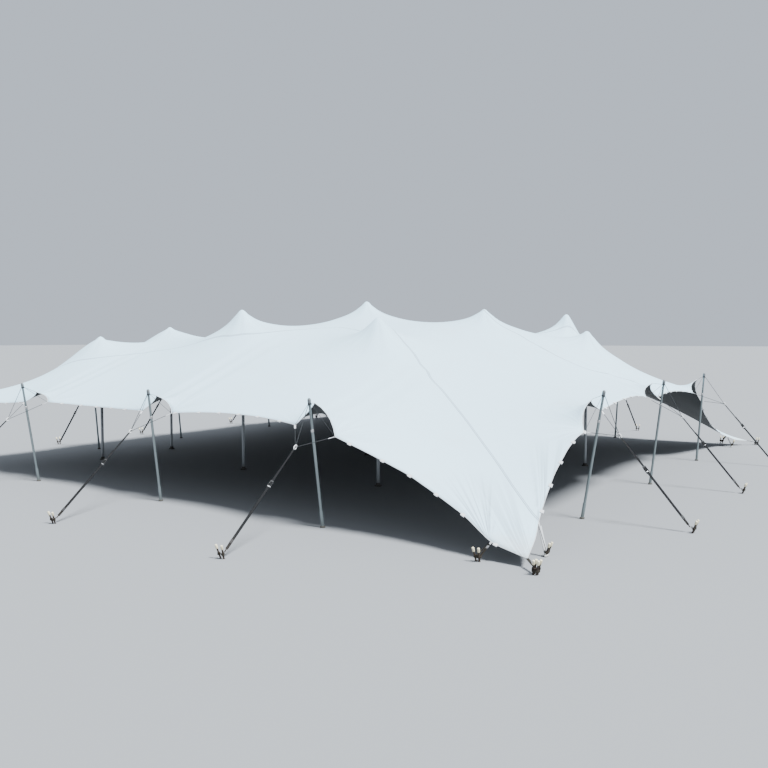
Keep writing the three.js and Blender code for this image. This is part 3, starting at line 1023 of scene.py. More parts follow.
@dataclass(frozen=True)
class TentFabric(Surface):
    """Coated stretch knit with seams, hem and folds from the canopy's own data.

    Attributes:
        colour: Clean fabric: white with a blue cast, which is painted sky light.
        shade: The cooler tone along seams, and the painted shade in the folds' creases.
        soiled: Faint outdoor soiling.
        overlap: Distances from a seam between which its doubled cloth ends.
        stitch: Distance of its stitches from the seam, and the two distances
            from the stitches between which they end.
        hem_band: Distances from the hem between which its doubled cloth ends.
        hem_stitch: The same three of the hem's stitches as of a seam's.
        stitch_sink: How deep stitches lie, as a part of the cloth's doubling.
        folds: The groups of folds, and the density that each is drawn with.
    """

    # Painted sky light: the white fabric is given a blue cast.
    colour: Colour = (0.61, 0.86, 0.99)
    shade: Colour = (0.34, 0.42, 0.49)
    soiled: Colour = (0.6, 0.6, 0.56)
    overlap: Pair = (0.022, 0.028)
    stitch: Triple = (0.02, 0.004, 0.01)
    hem_band: Pair = (0.055, 0.062)
    hem_stitch: Triple = (0.055, 0.001, 0.006)
    stitch_sink: float = -0.6
    folds: tuple[tuple[str, float], ...] = (
        ("fold_tip", 15.0),
        ("fold_front_peg", 8.0),
        ("fold_end_peg", 20.0),
        ("fold_low_a", 5.0),
        ("fold_low_b", 5.0),
        ("fold_king", 3.0),
    )

    def wire(self, kit: NodeKit, shader: Sockets) -> None:
        """Feeds colour, roughness, sheen and the three layers of bump.

        Args:
            kit: The material's kit.
            shader: The shader's inputs.
        """
        seam = kit.size(kit.attribute("seam_1"))
        for name in ("seam_2", "seam_3"):
            seam = kit.math("MINIMUM", seam, kit.size(kit.attribute(name)))
        edge = kit.attribute("edge_distance")
        overlap = kit.band(seam, *self.overlap)
        stitch = self._line(kit, seam, self.stitch)
        hem_band = kit.band(edge, *self.hem_band)
        hem_stitch = self._line(kit, edge, self.hem_stitch)
        fold, crease = self._folds(kit)
        place = kit.place()
        clouds = kit.noise(place, 0.35, 4.0)
        wear = {"Clouds": 0.10, "Specks": 0.05, "Foot Height": 0.4}
        soil = kit.effect(OUTDOOR_WEAR, place, wear)["Soil"]
        flat = kit.node("ShaderNodeUVMap", uv_map="flat").outputs[0]
        knit = kit.effect(PLAIN_WEAVE, flat, {"Scale": 1400.0})
        # The colour goes towards the shade tone at seams, stitches and hem, at random in broad
        # clouds, and along the fold creases as painted shade.
        sewing = ((overlap, 0.35), (stitch, 0.8), (hem_stitch, 0.25), (hem_band, 0.06))
        dark = kit.total(*sewing, (crease, 0.8), (clouds, 0.07), clamp=True)
        base = kit.mix(dark, self.colour, self.shade)
        kit.link(kit.mix(soil, base, self.soiled), shader["Base Color"])
        kit.link(kit.minus(0.84, kit.times(knit["Tone"], 0.12)), shader["Roughness"])
        shader["Sheen Weight"].default_value = 0.15
        shader["Specular IOR Level"].default_value = 0.25
        sink = self.stitch_sink
        raised = kit.total((overlap, 1.0), (stitch, sink), (hem_band, 1.0), (hem_stitch, sink))
        folded = kit.bump(fold, 1.0, 1.0)
        sewn = kit.bump(raised, 1.0, 0.0035, Normal=folded)
        kit.link(kit.bump(knit["Height"], 0.25, 0.0006, Normal=sewn), shader["Normal"])

    @staticmethod
    def _line(kit: NodeKit, value: Socket, row: Triple) -> Socket:
        """1 on a line of stitches, from its place and its two half widths."""
        return kit.band(kit.size(kit.minus(value, row[0])), row[1], row[2])

    def _folds(self, kit: NodeKit) -> tuple[Socket, Socket]:
        """Adds the groups of folds together.

        Args:
            kit: The material's kit.

        Returns:
            Their height, and the painted shade along their creases.
        """
        fans = [
            kit.effect(FOLD_FAN, kit.attribute(name, "Vector"), {"Density": density})
            for name, density in self.folds
        ]
        fold, crease = fans[0]["Height"], fans[0]["Crease Shade"]
        for fan in fans[1:]:
            fold, crease = kit.plus(fold, fan["Height"]), kit.plus(crease, fan["Crease Shade"])
        return fold, crease


FABRIC = TentFabric("white_stretch_fabric")
# Painted shade: the canopy's underside gets near black colours that stand for the shade beneath
# the canopy.
PAINTED_SHADE_UNDERSIDE = TentFabric(
    "painted_shade_underside", (0.05, 0.056, 0.058), (0.03, 0.034, 0.036), (0.07, 0.07, 0.065)
)
# Side pole tube and inner sleeve: grey steel drawn darker and green-grey, partly painted shade
# and painted reflection of green grass.
TUBE = TubeMetal("drawn_tube", (0.27, 0.32, 0.325), (0.2, 0.21, 0.2), 0.45, 0.75)
DARK_TUBE = TubeMetal("inner_sleeve", (0.23, 0.27, 0.275), (0.16, 0.17, 0.17), 0.45, 0.7)
# King pole steel, its colour drawn darker to stand for the shade under the canopy: partly painted
# shade.
KING_TUBE = TubeMetal("king_tube", (0.36, 0.38, 0.39), (0.24, 0.235, 0.22), 0.42, 0.8)
BLACK_RUBBER = Finish("black_rubber", (0.018, 0.018, 0.02), (0.11, 0.1, 0.08), 0.72, grain=160.0)
STAKE_STEEL = Finish(
    "stake_steel", (0.02, 0.02, 0.02), (0.07, 0.045, 0.03), 0.65, 0.3, clouds=0.4, specks=0.5
)
BRIGHT_STEEL = Finish("zinc_steel", (0.6, 0.6, 0.6), (0.35, 0.33, 0.3), 0.35, 0.95)
CREAM_HEAD = Finish(
    "cream_plastic", (0.8, 0.73, 0.52), (0.42, 0.34, 0.2), 0.5, clouds=0.4, specks=0.4
)
GREY_CAP = Finish("grey_cap", (0.13, 0.14, 0.145), (0.2, 0.19, 0.17), 0.6, grain=160.0)
WHITE_RING = Finish("white_plastic", (0.78, 0.78, 0.76), (0.45, 0.43, 0.38), 0.45)
BLACK_WEB = Webbing("black_webbing", (0.009, 0.0095, 0.01), (0.003, 0.003, 0.0035))
WHITE_WEB = Webbing("white_webbing", (0.74, 0.75, 0.75), (0.42, 0.43, 0.44))
DARK_ROPE = Webbing("dark_rope", (0.05, 0.054, 0.056), (0.012, 0.013, 0.014))


def smooth_leg(leg: Leg, inward: float, height: float) -> Array:
    """A leg's offset and height on even steps, its corners rounded off.

    A straight-line reading of the rows is averaged over a short sliding window,
    with the ends mirrored through their points so that they keep their values.

    Args:
        leg: The leg's rows.
        inward: Offset where it meets the notch.
        height: Height where it meets the notch.

    Returns:
        Array (2, LEG_STEPS).
    """
    table = np.array([*leg, (1.0, inward, height)])
    window = np.hanning(LEG_WINDOW)
    window /= window.sum()
    half = len(window) // 2
    made = []
    for column in (1, 2):
        even = np.interp(np.linspace(0, 1, LEG_STEPS), table[:, 0], table[:, column])
        before = 2 * even[0] - even[half:0:-1]
        after = 2 * even[-1] - even[-2 : -half - 2 : -1]
        made.append(np.convolve(np.concatenate([before, even, after]), window, "valid"))
    return np.array(made)


def hem(side: HemSide, places: Array) -> tuple[Array, Array]:
    """Inward offset and height of a hem.

    Legs read their rows from the corner tip. A bay is a parabola through its two
    ends and its middle. A notch rises from its low ends to its point, and each
    of its edges is scooped inward along a parabola.

    Args:
        side: The hem.
        places: Places along it.

    Returns:
        Inward offsets and heights.
    """
    places = np.asarray(places, float)
    inward = np.empty_like(places)
    height = np.empty_like(places)
    first, _, last = side.notches
    steps = np.linspace(0, 1, LEG_STEPS)
    for leg, notch, low, sign in (
        (side.low_leg, first, first.before, 1.0),
        (side.high_leg, last, last.after, -1.0),
    ):
        end = sign * notch.place - NOTCH_HALF
        part = (sign * places + CORNER) / (end + CORNER)
        here = part <= 1
        leg_in, leg_z = smooth_leg(leg, notch.inward, low)
        inward[here] = np.interp(part[here], steps, leg_in)
        height[here] = np.interp(part[here], steps, leg_z)
    for a, b, (mid_in, mid_z) in zip(side.notches[:-1], side.notches[1:], side.bays):
        start, stop = a.place + NOTCH_HALF, b.place - NOTCH_HALF
        t = (places - start) / (stop - start)
        here = (t > -EDGE) & (t < 1 + EDGE)
        t = np.clip(t[here], 0, 1)
        bow = 4 * t * (1 - t)
        for values, v0, v1, mid in (
            (inward, a.inward, b.inward, mid_in),
            (height, a.after, b.before, mid_z),
        ):
            values[here] = v0 + (v1 - v0) * t + (mid - (v0 + v1) / 2) * bow
    for notch in side.notches:
        off = places - notch.place
        here = np.abs(off) < NOTCH_HALF
        low = np.where(off < 0, notch.before, notch.after)
        part = 1 - np.abs(off) / NOTCH_HALF
        bowed = part + NOTCH_BOW * part * (1 - part)
        inward[here] = (notch.inward + NOTCH_SCOOP * 4 * part * (1 - part))[here]
        height[here] = (low + (notch.top - low) * bowed)[here]
    return inward, height


def cross_lines(sides: tuple[HemSide, HemSide], step: float) -> Array:
    """Places of the canopy's lines across two opposite hems.

    Args:
        sides: The two hems; each end and point of their notches is on a line.
        step: Distance between lines.

    Returns:
        Places in rising order.
    """
    marks = {-CORNER, CORNER}
    for side in sides:
        for notch in side.notches:
            for off in (-NOTCH_HALF, 0.0, NOTCH_HALF):
                marks.add(round(notch.place + off, 6))
    ordered = sorted(marks)
    pieces = []
    for a, b in zip(ordered[:-1], ordered[1:]):
        count = max(1, round((b - a) / step))
        pieces.append(np.linspace(a, b, count, endpoint=False))
    return np.concatenate([*pieces, [CORNER]])


def border(grid: Array) -> Array:
    """The points round the edge of a grid, in order, each once."""
    return np.vstack([grid[:, 0], grid[-1, 1:], grid[-2::-1, -1], grid[0, -2:0:-1]])


@dataclass(frozen=True)
class Anchor:
    """A place that gathers folds.

    Attributes:
        x: Its place.
        y: Its place.
        reach: How far the folds run.
        density: How many there are: streaks in one radian.
        depth: How deep they are.
        heading: Direction, in radians, that they run towards.
        spread: How far either side of it they fan out; pi is all round.
    """

    x: float
    y: float
    reach: float
    density: float
    depth: float
    heading: float = 0.0
    spread: float = math.pi

    def facing_in(self, sx: int, sy: int) -> Anchor:
        """The anchor at the corner with those signs, turned to face the middle."""
        turned = math.atan2(-sy * math.sin(self.heading), -sx * math.cos(self.heading))
        return replace(self, x=sx * self.x, y=sy * self.y, heading=turned)

    def window(self, x: Array, y: Array) -> Array:
        """How much of the folds shows, by direction from the anchor.

        With t the turn from the heading over the spread it is 1.8 * (1 - t * t),
        kept between 0 and 1.

        Args:
            x: Places of points.
            y: Places of points.

        Returns:
            1 inside the fan, fading to 0 at its two edges.
        """
        if self.spread >= math.pi:
            return np.ones_like(x)
        turned = np.arctan2(y - self.y, x - self.x) - self.heading
        turned = (turned + math.pi) % (2 * math.pi) - math.pi
        return np.clip(1.8 * (1 - (turned / self.spread) ** 2), 0, 1)


# Signs of X and Y at the grounded corners, and the folds that each gathers.
GROUNDED = ((1, -1), (1, 1), (-1, 1))
CORNER_FANS: dict[str, Anchor] = {
    "fold_tip": Anchor(
        CORNER + 0.42, CORNER + 0.42, 2.9, 15.0, 0.016, math.radians(45.0), math.radians(12.0)
    ),
    "fold_front_peg": Anchor(
        PEG_X, CORNER, 1.9, 8.0, 0.02, math.radians(42.0), math.radians(27.0)
    ),
    "fold_end_peg": Anchor(
        CORNER + 0.2, PEG_Y + 0.67, 3.3, 20.0, 0.03, math.radians(73.0), math.radians(13.0)
    ),
}

LONG_SEAM: Seam = (
    (-9.9, -7.9), (-7.69, -7.35), (-6.38, -7.1), (-5.26, -6.45), (-4.22, -6.02),
    (-2.9, -5.95), (-1.23, -5.85), (-0.6, -5.3), (-0.21, -4.19), (0.42, -2.9),
    (1.23, -3.17), (2.62, -4.25), (3.9, -4.58), (4.73, -5.15), (5.68, -5.84),
    (6.48, -6.48), (7.29, -7.12), (7.89, -7.6), (9.1, -8.45), (9.9, -9.0),
)
MIDDLE_SEAM: Seam = (
    (-9.9, -0.2), (0.0, 0.1), (5.37, 0.0), (6.18, -0.42), (7.2, -0.7), (8.0, -0.78),
    (8.6, -0.4), (9.0, 0.05), (9.9, 0.3),
)


@dataclass
class Canopy:
    """The fabric: one sheet under tension between the hem and the king poles.

    Attributes:
        step: Distance between the lines of its mesh.
        thick: Fabric thickness.
        cap_radius: Radius over which a king pole's head rounds the fabric.
        head_round: How much a head's edge lies under its top, as a factor on
            distance squared over that radius.
        pinch: Distance from a king pole within which the mesh is drawn finer.
        finest: Spacing of the mesh at a king pole, as a part of the usual.
        start_z: Height from which the free points are swept to rest.
        sweeps: Rows of (number of sweeps, over-relaxation factor).
        hem_rope: Radius of the rope sewn into the hem.
        tab: Width and thickness of a tab's webbing.
        seams: Rows of (x, y) in the cloth along each long seam, x rising.
        points: The surface at rest, once it is solved.
        flat: Place in the flat cloth of each of its points.
    """

    step: float = 0.105
    thick: float = 0.0022
    cap_radius: float = 0.14
    head_round: float = 0.9
    pinch: float = 1.1
    finest: float = 0.45
    start_z: float = 2.9
    sweeps: tuple[tuple[int, float], ...] = ((700, 1.9), (500, 1.97), (200, 1.7))
    hem_rope: float = 0.0065
    tab: Pair = (0.085, 0.005)
    seams: tuple[Seam, ...] = (LONG_SEAM, tuple((x, -y) for x, y in LONG_SEAM), MIDDLE_SEAM)
    points: Array = field(init=False)
    flat: Array = field(init=False)

    def solve(self) -> None:
        """Finds the tensioned surface.

        In plan the lines run straight between opposite hems. The height is the
        one with the least slope overall: each point is the average of its
        neighbours, weighted by width over length, between the fixed hem and the
        rounded tops of the king poles. It is found by over-relaxed sweeps.
        """
        xs = cross_lines((FRONT_HEM, BACK_HEM), self.step)
        ys = cross_lines((RIGHT_HEM, LEFT_HEM), self.step)
        gx, gy = np.meshgrid(xs, ys, indexing="ij")
        left, right = hem(LEFT_HEM, ys), hem(RIGHT_HEM, ys)
        front, back = hem(FRONT_HEM, xs), hem(BACK_HEM, xs)
        in_x = np.where(gx < 0, left[0][None, :], right[0][None, :])
        in_y = np.where(gy < 0, front[0][:, None], back[0][:, None])
        px = gx * (1 - in_x * np.abs(gx) / CORNER**2)
        py = gy * (1 - in_y * np.abs(gy) / CORNER**2)
        pz = np.full(px.shape, self.start_z)
        held = np.zeros(px.shape, bool)
        for edge, (_, z) in (
            (np.s_[0, :], left),
            (np.s_[-1, :], right),
            (np.s_[:, 0], front),
            (np.s_[:, -1], back),
        ):
            pz[edge], held[edge] = z, True
        for king in KING_POLES.values():
            away = np.hypot(px - king.x, py - king.y)
            spacing = self.finest + (1 - self.finest) * np.clip(away / self.pinch, 0, 1)
            factor = np.where(held, 1.0, spacing)
            px, py = king.x + (px - king.x) * factor, king.y + (py - king.y) * factor
            away = np.hypot(px - king.x, py - king.y)
            on_head = away < self.cap_radius
            pz[on_head] = king.top - self.head_round * away[on_head] ** 2 / self.cap_radius
            held |= on_head
        self._relax(px, py, pz, held)
        self.points = np.stack([px, py, pz], axis=-1)
        self.flat = np.stack([gx, gy], axis=-1)

    def _relax(self, px: Array, py: Array, pz: Array, held: Array) -> None:
        """Sweeps the heights to rest.

        Fabric is tighter towards a pole's head: the pull between two points is
        multiplied by the mean of their max(1, reach / distance to the pole).

        Args:
            px: Plan X of the grid.
            py: Plan Y of the grid.
            pz: Heights, changed in place.
            held: Where the height is fixed.
        """
        tight = np.ones(px.shape)
        for king in KING_POLES.values():
            away = np.maximum(np.hypot(px - king.x, py - king.y), 0.1)
            tight = np.maximum(tight, king.reach / away)
        wide_i = np.hypot(px[1:-1, 2:] - px[1:-1, :-2], py[1:-1, 2:] - py[1:-1, :-2]) / 2
        wide_j = np.hypot(px[2:, 1:-1] - px[:-2, 1:-1], py[2:, 1:-1] - py[:-2, 1:-1]) / 2

        def pull(wide: Array, di: int, dj: int) -> Array:
            """How hard a neighbour pulls on each inner point.

            Args:
                wide: Width of the cloth between the two.
                di: How many rows on the neighbour is.
                dj: How many columns on.

            Returns:
                Array over the inner points.
            """
            n, m = px.shape
            here = (slice(1, n - 1), slice(1, m - 1))
            there = (slice(1 + di, n - 1 + di), slice(1 + dj, m - 1 + dj))
            length = np.hypot(px[here] - px[there], py[here] - py[there]) + 1e-6
            return wide * (tight[here] + tight[there]) / 2 / length

        pulls = [pull(wide_i, way, 0) for way in (1, -1)]
        pulls += [pull(wide_j, 0, way) for way in (1, -1)]
        total = sum(pulls)
        pulls = [part / total for part in pulls]
        free = ~held[1:-1, 1:-1]
        rows, cols = np.indices(free.shape)
        chequer = [free & ((rows + cols) % 2 == k) for k in (0, 1)]
        inner = pz[1:-1, 1:-1]
        for factor in (factor for count, factor in self.sweeps for _ in range(count)):
            for cells in chequer:
                average = (
                    pulls[0] * pz[2:, 1:-1]
                    + pulls[1] * pz[:-2, 1:-1]
                    + pulls[2] * pz[1:-1, 2:]
                    + pulls[3] * pz[1:-1, :-2]
                )
                inner[cells] += factor * (average[cells] - inner[cells])

    def normals(self) -> Array:
        """Upward direction at each point, from its neighbours."""
        return unit(np.cross(np.gradient(self.points, axis=0), np.gradient(self.points, axis=1)))

    def anchors(self) -> dict[str, list[Anchor]]:
        """Places that pull folds into the fabric.

        Returns:
            Groups whose reaches never meet, so that one offset for each group
            is enough.
        """
        groups = {
            key: [fan.facing_in(*signs) for signs in GROUNDED]
            for key, fan in CORNER_FANS.items()
        }
        for key, way in (("fold_low_a", -1), ("fold_low_b", 1)):
            rims = [
                side.rim(notch.place + way * NOTCH_HALF)
                for side in Side
                for notch in side.hem.notches
            ]
            groups[key] = [Anchor(x, y, 1.3, 8.0, 0.005) for x, y, _ in rims]
        groups["fold_king"] = [
            Anchor(king.x, king.y, 1.5, 5.0, 0.0035) for king in KING_POLES.values()
        ]
        return groups

    def fold_offsets(self, group: list[Anchor]) -> Array:
        """Offset from the nearest anchor of a group, and the depth of its folds.

        The depth rises from zero at the anchor to a peak a fifth of the way out
        and fades to zero at the anchor's reach.

        Args:
            group: Anchors whose reaches don't meet.

        Returns:
            Array over the grid of (offset x, offset y, depth).
        """
        x, y = self.points[..., 0], self.points[..., 1]
        made = np.zeros((*x.shape, 3))
        nearest = np.full(x.shape, np.inf)
        for anchor in group:
            away = np.hypot(x - anchor.x, y - anchor.y)
            part = away / anchor.reach
            depth = anchor.depth * np.clip(part * 5, 0, 1) * np.clip(1 - part, 0, 1) ** 1.3
            depth *= anchor.window(x, y)
            here = away < nearest
            nearest = np.minimum(nearest, away)
            made[here] = np.stack([x - anchor.x, y - anchor.y, depth], axis=-1)[here]
        return made

    def shaped(self) -> Array:
        """The surface with its broad tension folds.

        Round each anchor the surface is moved along its own upward direction by
        the sum of two sines of the angle, in a band between anchor and reach,
        and hardly at the hem.

        Returns:
            The grid of points.
        """
        x, y = self.points[..., 0], self.points[..., 1]
        push = np.zeros(x.shape)
        every = [anchor for group in self.anchors().values() for anchor in group]
        for k, anchor in enumerate(every):
            part = np.hypot(x - anchor.x, y - anchor.y) / (anchor.reach * 1.2)
            angle = np.arctan2(y - anchor.y, x - anchor.x)
            turns = round(anchor.density * 1.9)
            wave = np.sin(turns * angle + k) + 0.6 * np.sin(round(turns * 1.7) * angle + 2.1 * k)
            fade = np.clip(part * 2.5, 0, 1) * np.clip(1 - part, 0, 1) ** 1.4
            push += 0.35 * anchor.depth * wave * fade * anchor.window(x, y)
        push *= np.clip(self.edge_distance() / 0.6, 0.1, 1)
        return self.points + push[..., None] * self.normals()

    def edge_distance(self) -> Array:
        """Distance in the cloth from each point to the nearest hem."""
        return CORNER - np.abs(self.flat).max(axis=-1)

    def seam_offset(self, rows: Seam) -> Array:
        """Signed distance in the cloth from each point to a seam.

        The seam is y = f(x), its rows joined and evened out over half a metre;
        the offset is (y - f) over sqrt(1 + f'^2).

        Args:
            rows: The seam's rows.

        Returns:
            Array over the grid.
        """
        gx, gy = self.flat[..., 0], self.flat[..., 1]
        table = np.array(rows)
        fine = np.linspace(-CORNER, CORNER, 800)
        line = np.interp(fine, table[:, 0], table[:, 1])
        line = np.convolve(np.pad(line, 10, mode="edge"), np.full(21, 1 / 21), "valid")
        slope = np.gradient(line, fine)
        return (gy - np.interp(gx, fine, line)) / np.sqrt(1 + np.interp(gx, fine, slope) ** 2)

    def build(self) -> bpy.types.Object:
        """Returns:
            The sheet.
        """
        self.solve()
        grid = self.shaped()
        nu, nv = grid.shape[:2]
        mesh = bpy.data.meshes.new("canopy_sheet")
        quads = grid_quads(np.arange(nu * nv).reshape(nu, nv))
        mesh.from_pydata(grid.reshape(-1, 3).tolist(), [], quads.tolist())
        mesh.update()
        self._store_values(mesh)
        for finish in (FABRIC, PAINTED_SHADE_UNDERSIDE):
            mesh.materials.append(finish.material())
        mesh.shade_smooth()
        sheet = bpy.data.objects.new("canopy_sheet", mesh)
        bpy.context.scene.collection.objects.link(sheet)
        wall = sheet.modifiers.new("fabric_thickness", "SOLIDIFY")
        wall.thickness = self.thick
        wall.offset = 0.0
        # The underside takes the second material, the near black painted shade.
        wall.material_offset = 1
        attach(sheet, ROOT)
        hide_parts(*(f"canopy_strip_{k}" for k in range(1, 5)))
        hems = self.hem_trim(grid)
        LOG.info("canopy_sheet: %d points", nu * nv)
        return sheet

    def _store_values(self, mesh: bpy.types.Mesh) -> None:
        """Keeps what the fabric reads: seams, hem, folds and the flat UV map.

        Args:
            mesh: The sheet's mesh.
        """
        values = {f"seam_{k}": self.seam_offset(rows) for k, rows in enumerate(self.seams, 1)}
        values["edge_distance"] = self.edge_distance()
        for name, value in values.items():
            made = mesh.attributes.new(name, "FLOAT", "POINT")
            made.data.foreach_set("value", value.ravel().astype(np.float32))
        for name, group in self.anchors().items():
            made = mesh.attributes.new(name, "FLOAT_VECTOR", "POINT")
            made.data.foreach_set("vector", self.fold_offsets(group).ravel().astype(np.float32))
        corners = np.empty(len(mesh.loops), np.int32)
        mesh.loops.foreach_get("vertex_index", corners)
        layer = mesh.uv_layers.new(name="flat")
        layer.data.foreach_set("uv", self.flat.reshape(-1, 2)[corners].ravel())

    def hem_trim(self, grid: Array) -> bpy.types.Object:
        """The rope sewn into the hem and the small webbing tabs along it.

        Args:
            grid: The finished surface.

        Returns:
            One object with both.
        """
        shape = Shape(WHITE_WEB)
        loop = border(grid)
        run = unit(np.roll(loop, -1, axis=0) - np.roll(loop, 1, axis=0))
        across = unit(np.cross(UP, run))
        tube = rings(loop, across, np.cross(run, across), self.hem_rope, 8)
        shape.add_grid(tube, WHITE_WEB, True)
        cloth = border(self.flat)
        for side in Side:
            for place in side.tab_places():
                spot = on_side(side.angle, side.turn * place, CORNER, 0.0)[:2]
                k = int(np.argmin(np.linalg.norm(cloth - spot, axis=1)))
                self._tab(shape, loop[k], run[k], -across[k])
        trim = shape.build("hem_trim")
        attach(trim, ROOT)
        return trim

    def _tab(self, shape: Shape, at: Array, run: Array, out: Array) -> None:
        """Adds a webbing loop folded over the hem: out, round and back in.

        Args:
            shape: What it joins.
            at: Point of the hem.
            run: Direction of the hem there.
            out: Direction away from the cloth.
        """
        turn = np.linspace(-0.5 * math.pi, 0.5 * math.pi, 7)[:, None]
        out = unit(out - 0.3 * UP)
        up = np.cross(run, out)
        up = up if up[2] > 0 else -up
        nose = at + out * (0.034 + 0.01 * np.cos(turn)) + up * 0.009 * np.sin(turn)
        path = np.vstack([at - out * 0.03 - up * 0.009, nose, at - out * 0.03 + up * 0.009])
        shape.add_band(path, run, *self.tab, WHITE_WEB)


@dataclass
class KingPole:
    """An inner pole: rubber-shod foot, two telescoped tubes and a padded head.

    Attributes:
        name: Its node.
        place: Its foot and the height of the canopy over it.
        radius: Tube radius.
        base: Foot radius.
        joint_part: Height of the joint between the tubes, as a part of the top.
        under: How far its head is below the top of the canopy.
        sides: Faces round it.
    """

    name: str
    place: KingPlace
    radius: float = 0.045
    base: float = 0.1
    joint_part: float = 0.52
    under: float = 0.012
    sides: int = 40

    def build(self) -> bpy.types.Object:
        """Makes the pole and lets it stand for its node.

        Returns:
            The dressed pole.
        """
        shape = Shape(KING_TUBE, BLACK_RUBBER, BRIGHT_STEEL)
        at = np.array([self.place.x, self.place.y, 0.0])
        joint = self.place.top * self.joint_part
        end = self.place.top - 0.2
        head = self.place.top - self.under
        r = self.radius
        foot = (
            (0, 0), (0.094, 0), (self.base, 0.006), (self.base, 0.022), (0.094, 0.028),
            (0.07, 0.036), (0.06, 0.05), (0.056, 0.088), (0.052, 0.095), (0, 0.095),
        )
        tube = ((0, 0.05), (r, 0.05), (r, joint), (r - 0.001, joint + 0.002), (0, joint + 0.002))
        collar = (
            (0, joint - 0.07), (r + 0.001, joint - 0.07), (r + 0.006, joint - 0.064),
            (r + 0.006, joint + 0.004), (r + 0.002, joint + 0.01), (0, joint + 0.01),
        )
        upper = ((0, joint), (r - 0.006, joint), (r - 0.006, end), (0, end))
        for profile, finish in (
            (foot, BLACK_RUBBER), (tube, KING_TUBE), (collar, BRIGHT_STEEL), (upper, KING_TUBE)
        ):
            shape.add_lathe(profile, at, UP, self.sides, finish)
        pin = at + [0, 0, joint - 0.16]
        bolt = straight(pin - [0.055, 0, 0], pin + [0.06, 0, 0], 6)
        shape.add_tube(bolt, 0.006, BRIGHT_STEEL, 12)
        shape.add_ring(pin + [0.066, 0, -0.012], [0, 1.0, 0], 0.016, 0.002, BRIGHT_STEEL)
        dome = (
            (0, head - 0.23), (r + 0.002, head - 0.23), (r + 0.004, head - 0.14),
            (0.062, head - 0.125), (0.073, head - 0.105), (0.074, head - 0.08),
            (0.068, head - 0.05), (0.052, head - 0.024), (0.03, head - 0.008),
            (0.012, head - 0.001), (0, head),
        )
        shape.add_lathe(dome, at, UP, self.sides, BLACK_RUBBER)
        return shape.stand_for(self.name)


@dataclass
class SidePole:
    """A leaning side pole: rubber foot, tube, inner sleeve, collar and cap.

    Attributes:
        name: Its node.
        row: The row it stands in.
        angle: Turn of the frame whose outward direction it leans to.
        along: Its place in that frame.
        lean: How far outward its top is from its foot.
        radius: Tube radius.
        inner: Length of the inner tube that shows at the top.
        low: Height of the lower end of the tube over the ground.
        sides: Faces round it.
    """

    name: str
    row: PoleRow
    angle: float
    along: float
    lean: float
    radius: float = 0.03
    inner: float = 0.62
    low: float = 0.024
    sides: int = 32

    def line(self) -> tuple[Array, Array]:
        """The ends of the tube's middle line.

        Returns:
            Its lower and its upper end.
        """
        low = on_side(self.angle, self.along, self.row.line, self.low)
        out = self.row.line + self.lean
        return low, on_side(self.angle, self.along, out, self.row.top - SIDE_CAP)

    def build(self) -> bpy.types.Object:
        """Makes the pole and lets it stand for its node.

        Returns:
            The dressed pole.
        """
        shape = Shape(TUBE, BLACK_RUBBER, DARK_TUBE, BRIGHT_STEEL, GREY_CAP)
        low, high = self.line()
        length = float(np.linalg.norm(high - low))
        sleeve = length - self.inner
        r = self.radius
        foot = (
            (0, 0), (0.05, 0), (0.055, 0.004), (0.055, 0.03), (0.051, 0.036), (0.04, 0.04),
            (0, 0.04),
        )
        ground = on_side(self.angle, self.along, self.row.line, 0.0)
        shape.add_lathe(foot, ground, UP, self.sides, BLACK_RUBBER)
        boot = (
            (0, 0), (0.0355, 0.0), (0.0365, 0.01), (0.0365, 0.335), (0.034, 0.342), (0, 0.342)
        )
        tube = ((0, 0.02), (r, 0.02), (r, sleeve), (0, sleeve))
        upper = ((0, sleeve - 0.01), (r - 0.003, sleeve - 0.01), (r - 0.003, length), (0, length))
        ring = (
            (0, sleeve - 0.05), (r + 0.001, sleeve - 0.05), (r + 0.004, sleeve - 0.045),
            (r + 0.004, sleeve + 0.004), (r + 0.001, sleeve + 0.008), (0, sleeve + 0.008),
        )
        cap = (
            (0, length - 0.055), (0.036, length - 0.055), (0.038, length - 0.05),
            (0.038, length + 0.012), (0.036, length + 0.022), (0.028, length + 0.036),
            (0.023, length + 0.045), (0.019, length + SIDE_CAP), (0, length + SIDE_CAP),
        )
        for profile, finish in (
            (boot, TUBE), (tube, TUBE), (upper, DARK_TUBE), (ring, BRIGHT_STEEL), (cap, GREY_CAP)
        ):
            shape.add_lathe(profile, low, high - low, self.sides, finish)
        return shape.stand_for(self.name)


